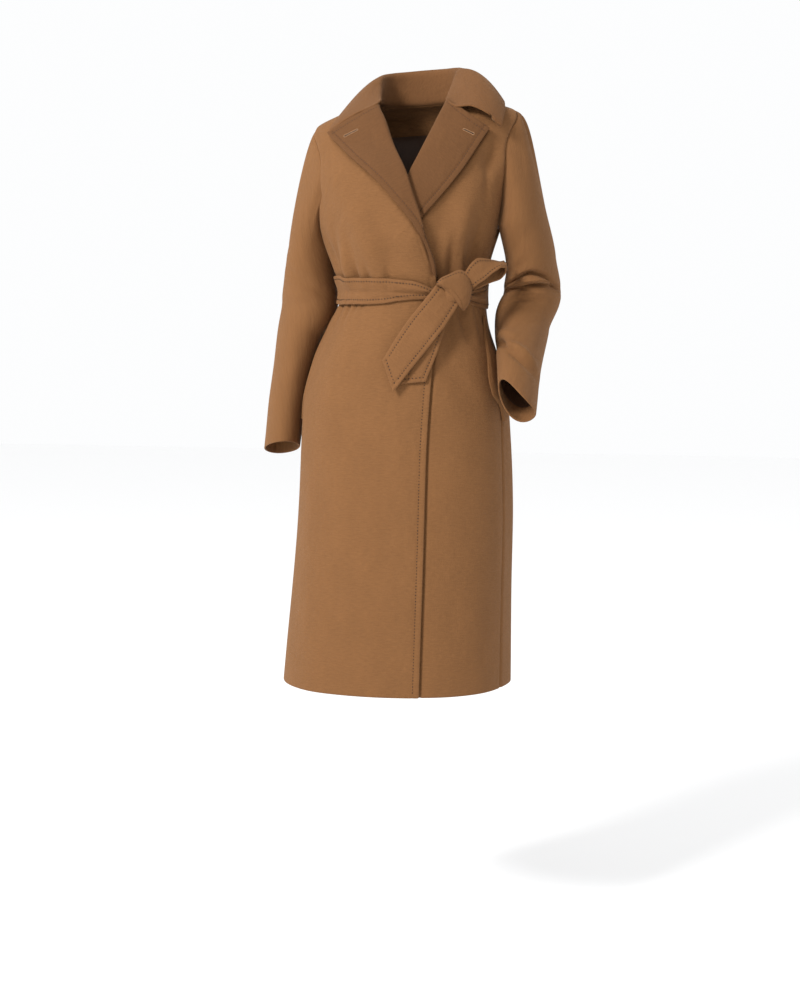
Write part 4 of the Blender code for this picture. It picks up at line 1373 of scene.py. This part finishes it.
def knot_strip(name, node, table, size, bulge, curl, rests_on):
    """A strip of belt from a table of its two edges; size is its rows and columns."""
    centre, axes = knot_frame()
    edges = table * MILLIMETRE
    first, second = centre + edges[:, :3] @ axes, centre + edges[:, 3:] @ axes
    grid = strip_between(first, second, *size, bulge, curl)
    return dress(name, node, "wool_belt", grid, TURN_CLOTH, [wool_belt], "folded", rests_on)


def make_knot_core():
    """The lump of cloth inside the knot, closed at both poles."""
    centre, axes = knot_frame()
    tip = math.pi * np.arange(1, CORE_RINGS)[:, None] / CORE_RINGS
    turn = 2 * math.pi * np.arange(CORE_SIDES) / CORE_SIDES
    swell = 1 + CORE_SWELL * np.cos(3 * turn + 0.7) * np.sin(tip)
    local = np.stack((KNOT_CORE[0] * np.sin(tip) * np.cos(turn) * swell,
                      KNOT_CORE[2] * np.sin(tip) * np.sin(turn) * swell,
                      KNOT_CORE[1] * np.cos(tip) + 0 * turn), axis=-1).reshape(-1, 3)
    poles = np.array(((0, 0, KNOT_CORE[1]), (0, 0, -KNOT_CORE[1])))
    away = np.concatenate((local, poles)) @ axes
    last = len(local)
    faces = []
    for j in range(CORE_SIDES):
        k = (j + 1) % CORE_SIDES
        faces += [[last, j, k], [last + 1, last - CORE_SIDES + k, last - CORE_SIDES + j]]
        faces += [[i + j, i + CORE_SIDES + j, i + CORE_SIDES + k, i + k]
                  for i in range(0, last - CORE_SIDES, CORE_SIDES)]
    flat = (away @ axes.T)[:, :2]
    uv = [flat[corner] for face in faces for corner in face]
    piece = finish_mesh("knot_core", centre + away, faces, uv, [wool_belt], np.zeros(len(faces)))
    place_piece(piece, "belt_knot")


make_knot_core()
over_turn_grid = knot_strip("knot_turn_over", "belt_knot", OVER_TURN, TURN_SIZE, 0.005, 0.002,
                            ["belt_round_waist"])
knot_strip("knot_turn_under", "belt_knot", UNDER_TURN, TURN_SIZE, 0.004, 0.002,
           ["belt_round_waist"])
print("the knot stands", KNOT_RISE, "m out from the body")

# %% [markdown]
# ### Loop and hanging ends
#
# The loop leaves the knot upward, turns back and goes in again, open at its side. The two ends
# hang over the skirt, the upper one across the lower one, both cut at a slant. They lie a
# little off the skirt, so that each casts its own soft shadow.

# %% Loop and ends
# lower_aside, lower_up, lower_out, upper_aside, upper_up, upper_out, in millimetres
LOOP = np.array([
    (28.3, -0.1, 2, 15.6, 26.4, 2),
    (34.9, 7.3, 8, 25.5, 41.4, 4),
    (45.8, 15.1, 12, 42.4, 51.6, 2),
    (63.4, 29.9, 13, 67.3, 50, -6),
    (77.7, 38.4, 11, 88.8, 47.2, -16),
    (89.8, 37, 5, 99, 46.4, -23),
    (92.8, 28.1, -3, 97.9, 46.5, -27),
    (84.8, 17.3, -8, 82, 44.6, -24),
    (65.2, 10.4, -9, 56.3, 40.8, -19),
    (35.8, -1.5, -8, 26.4, 28.5, -12),
])
# across_a, height_a, across_b, height_b, rise
TAIL_FRONT = np.array([
    (0.0532, -0.3115, 0.0787, -0.3512, 0.0300),
    (0.0490, -0.3195, 0.0756, -0.3585, 0.0320),
    (0.0390, -0.3429, 0.0694, -0.3781, 0.0260),
    (0.0283, -0.3605, 0.0618, -0.3974, 0.0200),
    (0.0072, -0.3917, 0.0453, -0.4255, 0.0165),
    (-0.0102, -0.4214, 0.0226, -0.4575, 0.0155),
    (-0.0258, -0.4487, -0.0069, -0.4986, 0.0140),
])
TAIL_REAR = np.array([
    (0.0573, -0.3538, 0.0790, -0.3604, 0.0180),
    (0.0515, -0.3710, 0.0720, -0.3721, 0.0140),
    (0.0376, -0.4029, 0.0650, -0.4012, 0.0105),
    (0.0214, -0.4411, 0.0581, -0.4337, 0.0080),
    (0.0037, -0.4852, 0.0426, -0.4819, 0.0060),
])
LOOP_SIZE = (110, 24)
TAIL_ROWS = 90
TAIL_COLUMNS = 28
TAIL_PILLOW = 0.0008
TAIL_WAVE = 0.0012


def make_tail(name, node, table):
    """A hanging end, from a table of its two edges down its length."""
    rows = along(table, TAIL_ROWS)
    down = np.linspace(0, 1, TAIL_ROWS)[:, None]
    share = np.linspace(0, 1, TAIL_COLUMNS)
    across = rows[:, 0:1] + (rows[:, 2:3] - rows[:, 0:1]) * share
    height = rows[:, 1:2] + (rows[:, 3:4] - rows[:, 1:2]) * share
    wave = TAIL_WAVE * np.sin(5.0 * down + 1.2 * share + 0.4)
    rise = rows[:, 4:5] + BELT_CLOTH + pillow(share, TAIL_PILLOW) + wave * down
    grid = press_rows(on_front(across, height, rise, fine=0.2), ("first", "last", "bottom"),
                      BELT_INSET)
    return dress(name, node, "wool_belt", grid, BELT_CLOTH, [wool_belt], "hung",
                 ["knot_core", "front_panel_right"])


loop_grid = knot_strip("belt_bow_loop", "belt_loop", LOOP, LOOP_SIZE, 0.0012, 0.0006,
                       ["knot_core"])
tail_front_grid = make_tail("belt_end_upper", "belt_tail_front", TAIL_FRONT)
tail_rear_grid = make_tail("belt_end_lower", "belt_tail_rear", TAIL_REAR)

# %% [markdown]
# ## Pocket welts
#
# Each side pocket is closed by a slanted welt: a folded strip that is sewn down along its inner
# edge and tacked at its two ends. Its outer edge stands free by a few millimetres.

# %% Pocket welts
# height, inner_angle, outer_angle, flare
WELT = np.array([
    (-0.372, 9.5, 7.0, 0.0000),
    (-0.412, 17.5, 13.0, 0.0008),
    (-0.444, 21.0, 9.5, 0.0020),
    (-0.481, 24.5, 7.5, 0.0030),
    (-0.505, 23.5, 6.8, 0.0030),
    (-0.528, 16.0, 6.3, 0.0020),
    (-0.552, 13.0, 7.5, 0.0000),
])
WELT_SEAM = 0.0026
WELT_SEAM_SHARE = 0.10
FLUSH = 0.0024
WELT_CLOTH = 0.0030
WELT_WALL = 0.0026
WELT_ROWS = 90
WELT_COLUMNS = 16


def make_welt(name, node, right):
    """A pocket's welt; the right one lies flat, the left one stands free at its outer edge."""
    rows = along(WELT, WELT_ROWS)
    share = np.linspace(0, 1, WELT_COLUMNS)
    angle = np.radians(rows[:, 1:2] + (rows[:, 2:3] - rows[:, 1:2]) * share)
    height = rows[:, :1] + 0 * angle
    lift = FLUSH if right else WELT_CLOTH + LAY_GAP + rows[:, 3:4] * share ** 2
    sewn = WELT_SEAM * np.exp(-(share / WELT_SEAM_SHARE) ** 2)
    grid = body(math.pi - angle if right else angle, height, lift - sewn, fine=0.3)
    return dress(name, node, "wool", grid, WELT_WALL, [wool], "laid",
                 ["front_panel_right" if right else "front_panel_left"],
                 inward=-1 if right else 1)


welt_right_grid = make_welt("pocket_welt_right", "welt_right", True)
welt_left_grid = make_welt("pocket_welt_left", "welt_left", False)

# %% [markdown]
# ## Pick stitches
#
# A hand-finished coat has a row of pick stitches just inside its edges: short, single stitches
# that sink into the nap and leave a small dimple each. They repeat along a path, so Geometry
# Nodes make them: the path is resampled at the stitch's spacing, one tiny pressed thread is
# placed at each point and turned along the path, and a fixed seed gives each its slight
# unevenness. The result is taken out as a plain mesh, one for each part of the coat.

# %% Thread
def thread_material(name, colour):
    made, tree, shader = new_material(name, {"Roughness": 0.6, "Specular IOR Level": 0.3})
    place = add_node(tree, "ShaderNodeTexCoord").outputs["Object"]
    twist = noise_layer(tree, place, (1, 1), 2400, 2, 0.3, 0.7)
    shades = mix_shades(tree, twist, shade(colour, 0.75), shade(colour, 1.2))
    feed(tree, shader, {"Base Color": shades})
    return made


# Both stitch threads are far darker than the wool: painted shade of the small dimples that the
# stitches press into the nap.
dark_thread_painted_shade = thread_material("dark_thread_painted_shade", (0.026, 0.010, 0.0035))
paler_thread_painted_shade = thread_material("paler_thread_painted_shade", (0.060, 0.024, 0.0085))
buttonhole_thread = thread_material("buttonhole_thread", (0.340, 0.185, 0.088))


def stitch_tree():
    """Node tree that sets stitches along a path whose points carry their surface's normals."""
    tree = bpy.data.node_groups.new("pick_stitches", "GeometryNodeTree")
    face = tree.interface
    face.new_socket("Geometry", in_out="INPUT", socket_type="NodeSocketGeometry")
    # The default thread is the dark one, painted shade of the stitch dimples.
    for name, kind, value in (("Spacing", "Float", 0.0046), ("Length", "Float", 0.0021),
                              ("Width", "Float", 0.0017), ("Height", "Float", 0.0008),
                              ("Unevenness", "Float", 0.16), ("Seed", "Int", 4),
                              ("Thread", "Material", dark_thread_painted_shade)):
        socket = face.new_socket(name, in_out="INPUT", socket_type="NodeSocket" + kind)
        socket.default_value = value
    face.new_socket("Geometry", in_out="OUTPUT", socket_type="NodeSocketGeometry")
    given = add_node(tree, "NodeGroupInput").outputs

    # points at even steps along the path
    curve = add_node(tree, "GeometryNodeMeshToCurve", {"Mesh": given["Geometry"]})
    points = add_node(tree, "GeometryNodeResampleCurve",
                      {"Curve": curve.outputs["Curve"], "Length": given["Spacing"]},
                      mode="LENGTH")

    # each stitch lies along the path, its flat side on the cloth
    normal = add_node(tree, "GeometryNodeInputNamedAttribute", {"Name": "surface_normal"},
                      data_type="FLOAT_VECTOR")
    tangent = add_node(tree, "GeometryNodeInputTangent")
    along_path = add_node(tree, "FunctionNodeAlignRotationToVector",
                          {"Vector": tangent.outputs["Tangent"]}, axis="X")
    upright = add_node(tree, "FunctionNodeAlignRotationToVector",
                       {"Rotation": along_path.outputs["Rotation"],
                        "Vector": normal.outputs["Attribute"]}, axis="Z", pivot_axis="X")

    # one stitch is a small ball stretched to its length, width and height
    ball = add_node(tree, "GeometryNodeMeshUVSphere",
                    {"Segments": 8, "Rings": 5, "Radius": 0.5})
    size = add_node(tree, "ShaderNodeCombineXYZ",
                    {"X": given["Length"], "Y": given["Width"], "Z": given["Height"]})
    stitch = add_node(tree, "GeometryNodeTransform",
                      {"Geometry": ball.outputs["Mesh"], "Scale": size.outputs["Vector"]})

    # no two stitches are quite the same size
    low, high = (add_node(tree, "ShaderNodeMath", {0: 1.0, 1: given["Unevenness"]},
                          operation=kind) for kind in ("SUBTRACT", "ADD"))
    vary = add_node(tree, "FunctionNodeRandomValue",
                    {"Min": low.outputs["Value"], "Max": high.outputs["Value"],
                     "Seed": given["Seed"]})
    placed = add_node(tree, "GeometryNodeInstanceOnPoints",
                      {"Points": points.outputs["Curve"], "Instance": stitch.outputs["Geometry"],
                       "Rotation": upright.outputs["Rotation"], "Scale": vary.outputs["Value"]})
    real = add_node(tree, "GeometryNodeRealizeInstances",
                    {"Geometry": placed.outputs["Instances"]})
    finish = add_node(tree, "GeometryNodeSetMaterial",
                      {"Geometry": real.outputs["Geometry"], "Material": given["Thread"]})
    add_node(tree, "NodeGroupOutput", {"Geometry": finish.outputs["Geometry"]})
    return tree


stitches = stitch_tree()
print(len(stitches.nodes), "nodes in the stitch tree")

# %% [markdown]
# ### Paths for the stitches
#
# Each path keeps a fixed distance from an edge of a piece. The piece's own grid gives it: the
# place is found by the distance along the cloth from the edge, so that the row stays parallel
# to the edge round every curve. The path's points also keep the cloth's normal there, which
# the node tree reads to lay each stitch flat.

# %% Stitch rows
STITCH_RISE = 0.0003
FACES_PER_STITCH = 40


def row_inside(grid, side, inset, first=0.0, last=1.0):
    """Path that follows one side of a grid at a distance inside it, with its normals."""
    grid = from_side(grid, side)
    both = np.concatenate((grid, outward_normals(grid)), axis=-1)
    reach = cloth_uv(grid)[..., 0]
    rows = range(int(first * (len(grid) - 1)), int(last * (len(grid) - 1)) + 1)
    path = np.array([[np.interp(inset, reach[row], both[row, :, axis]) for axis in range(6)]
                     for row in rows])
    return path[:, :3], unit(path[:, 3:])


def socket_of(tree, name):
    """Identifier of a node tree's named input."""
    return [item.identifier for item in tree.interface.items_tree
            if item.name == name and item.in_out == "INPUT"][0]


def sew(name, paths, **sizes):
    """Stitches along a list of paths, made by the node tree and taken out as a plain mesh."""
    points, ups, edges = [], [], []
    for path, normals in paths:
        start = len(points)
        points += list(path + normals * STITCH_RISE)
        ups += list(normals)
        edges += [(start + k, start + k + 1) for k in range(len(path) - 1)]
    mesh = bpy.data.meshes.new(name + "_path")
    mesh.from_pydata([tuple(point) for point in points], edges, [])
    attribute = mesh.attributes.new("surface_normal", "FLOAT_VECTOR", "POINT")
    attribute.data.foreach_set("vector", np.array(ups, np.float32).ravel())
    source = add_object(name + "_path", mesh)
    modifier = source.modifiers.new("stitches", "NODES")
    modifier.node_group = stitches
    for key, value in sizes.items():
        modifier[socket_of(stitches, key)] = value
    graph = bpy.context.evaluated_depsgraph_get()
    sewn = bpy.data.meshes.new_from_object(source.evaluated_get(graph))
    source.modifiers.remove(modifier)
    bpy.data.objects.remove(source)
    sewn.name = name
    sewn.shade_smooth()
    piece = add_object(name, sewn)
    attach(piece, "root")
    print(name, "has", len(sewn.polygons) // FACES_PER_STITCH, "stitches")


front_rows = [row_inside(front_right_grid, "last", EDGE_INSET, 0.01, 0.66)]
lapel_rows = []
for grid in (lapel_right_grid, lapel_left_grid):
    lapel_rows += [row_inside(grid, "last", LAPEL_INSET, 0.0, 0.93),
                   row_inside(grid, "top", LAPEL_INSET, 0.22, 0.97)]
belt_rows = []
for grid in (tail_front_grid, tail_rear_grid):
    belt_rows += [row_inside(grid, "first", BELT_INSET, last=0.93),
                  row_inside(grid, "last", BELT_INSET, last=0.95),
                  row_inside(grid, "bottom", BELT_INSET, 0.12, 0.88)]
belt_rows += [row_inside(loop_grid, "first", TURN_INSET),
              row_inside(loop_grid, "last", TURN_INSET),
              row_inside(over_turn_grid, "last", 2 * TURN_INSET, 0.1, 0.9),
              row_inside(band_grid, "top", TURN_INSET),
              row_inside(band_grid, "bottom", BELT_INSET)]
welt_rows = [row_inside(welt_left_grid, "last", TURN_INSET, 0.05, 0.95),
             row_inside(welt_right_grid, "last", TURN_INSET, 0.05, 0.95)]
# The threads' dark colour is painted shade of the dimples along each row.
sew("front_edge_stitches", front_rows, Spacing=0.0052, Length=0.0023, Width=0.0018)
sew("lapel_stitches", lapel_rows, Seed=7, Thread=paler_thread_painted_shade)
sew("belt_stitches", belt_rows, Spacing=0.0052, Length=0.0025, Width=0.0021, Seed=11)
sew("welt_stitches", welt_rows, Spacing=0.0052, Seed=13, Thread=paler_thread_painted_shade)

# %% [markdown]
# ### Buttonholes
#
# Each lapel has one buttonhole near its tip, worked by hand in a paler, thicker thread. Its
# stitches stand side by side round a slit and round an eye at the outer end. The node tree that
# sets the pick stitches makes them too, with other sizes along a path that runs round the slit.

# %% Buttonholes
# down and share on the lapel's face, at the eye and at the other end
BUTTONHOLE_RIGHT = ((0.0551, 0.8194), (0.0602, 0.5385))
BUTTONHOLE_LEFT = ((0.0602, 0.8361), (0.0677, 0.6120))
HOLE_HALF_WIDTH = 0.0016
EYE_HALF_WIDTH = 0.0025
EYE_SHARE = 0.16
HOLE_STEPS = 80


def buttonhole(roll, outer_edge, right, ends):
    """Path round a buttonhole, and the slit inside it, both with their normals."""
    along_slit = np.linspace(0, 1, HOLE_STEPS)
    down = ends[0][0] + (ends[1][0] - ends[0][0]) * along_slit
    share = ends[0][1] + (ends[1][1] - ends[0][1]) * along_slit
    spine = lapel_surface(roll, outer_edge, right, share[:, None], down=down)[:, 0]
    below = lapel_surface(roll, outer_edge, right, share[:, None], down=down + 0.01)[:, 0]
    forward = unit(np.gradient(spine, axis=0))
    normals = unit(np.cross(forward, below - spine))
    normals = normals * np.sign(-normals[:, 1:2])
    aside = unit(np.cross(normals, forward))
    ends_in = np.sqrt(np.clip(1 - (2 * along_slit - 1) ** 12, 0, 1))
    eye = np.exp(-((along_slit - EYE_SHARE / 2) / (EYE_SHARE / 2)) ** 2)
    half = (HOLE_HALF_WIDTH + (EYE_HALF_WIDTH - HOLE_HALF_WIDTH) * eye) * ends_in
    path = np.concatenate((spine + aside * half[:, None], (spine - aside * half[:, None])[::-1]))
    return (path, np.concatenate((normals, normals[::-1]))), (spine[3:-3], normals[3:-3])


worked, slit_rows_painted_shade = zip(buttonhole(ROLL_RIGHT, LAPEL_RIGHT, True, BUTTONHOLE_RIGHT),
                    buttonhole(ROLL_LEFT, LAPEL_LEFT, False, BUTTONHOLE_LEFT))
sew("buttonhole_thread_rows", worked, Spacing=0.0009, Length=0.0009, Width=0.0014, Height=0.0009,
    Unevenness=0.08, Seed=17, Thread=buttonhole_thread)
# The slits are rows of the dark thread: painted shade of each cut opening.
sew("buttonhole_slit_painted_shade", slit_rows_painted_shade, Spacing=0.0010, Length=0.0022, Width=0.0021, Height=0.0006,
    Unevenness=0.05, Seed=19)
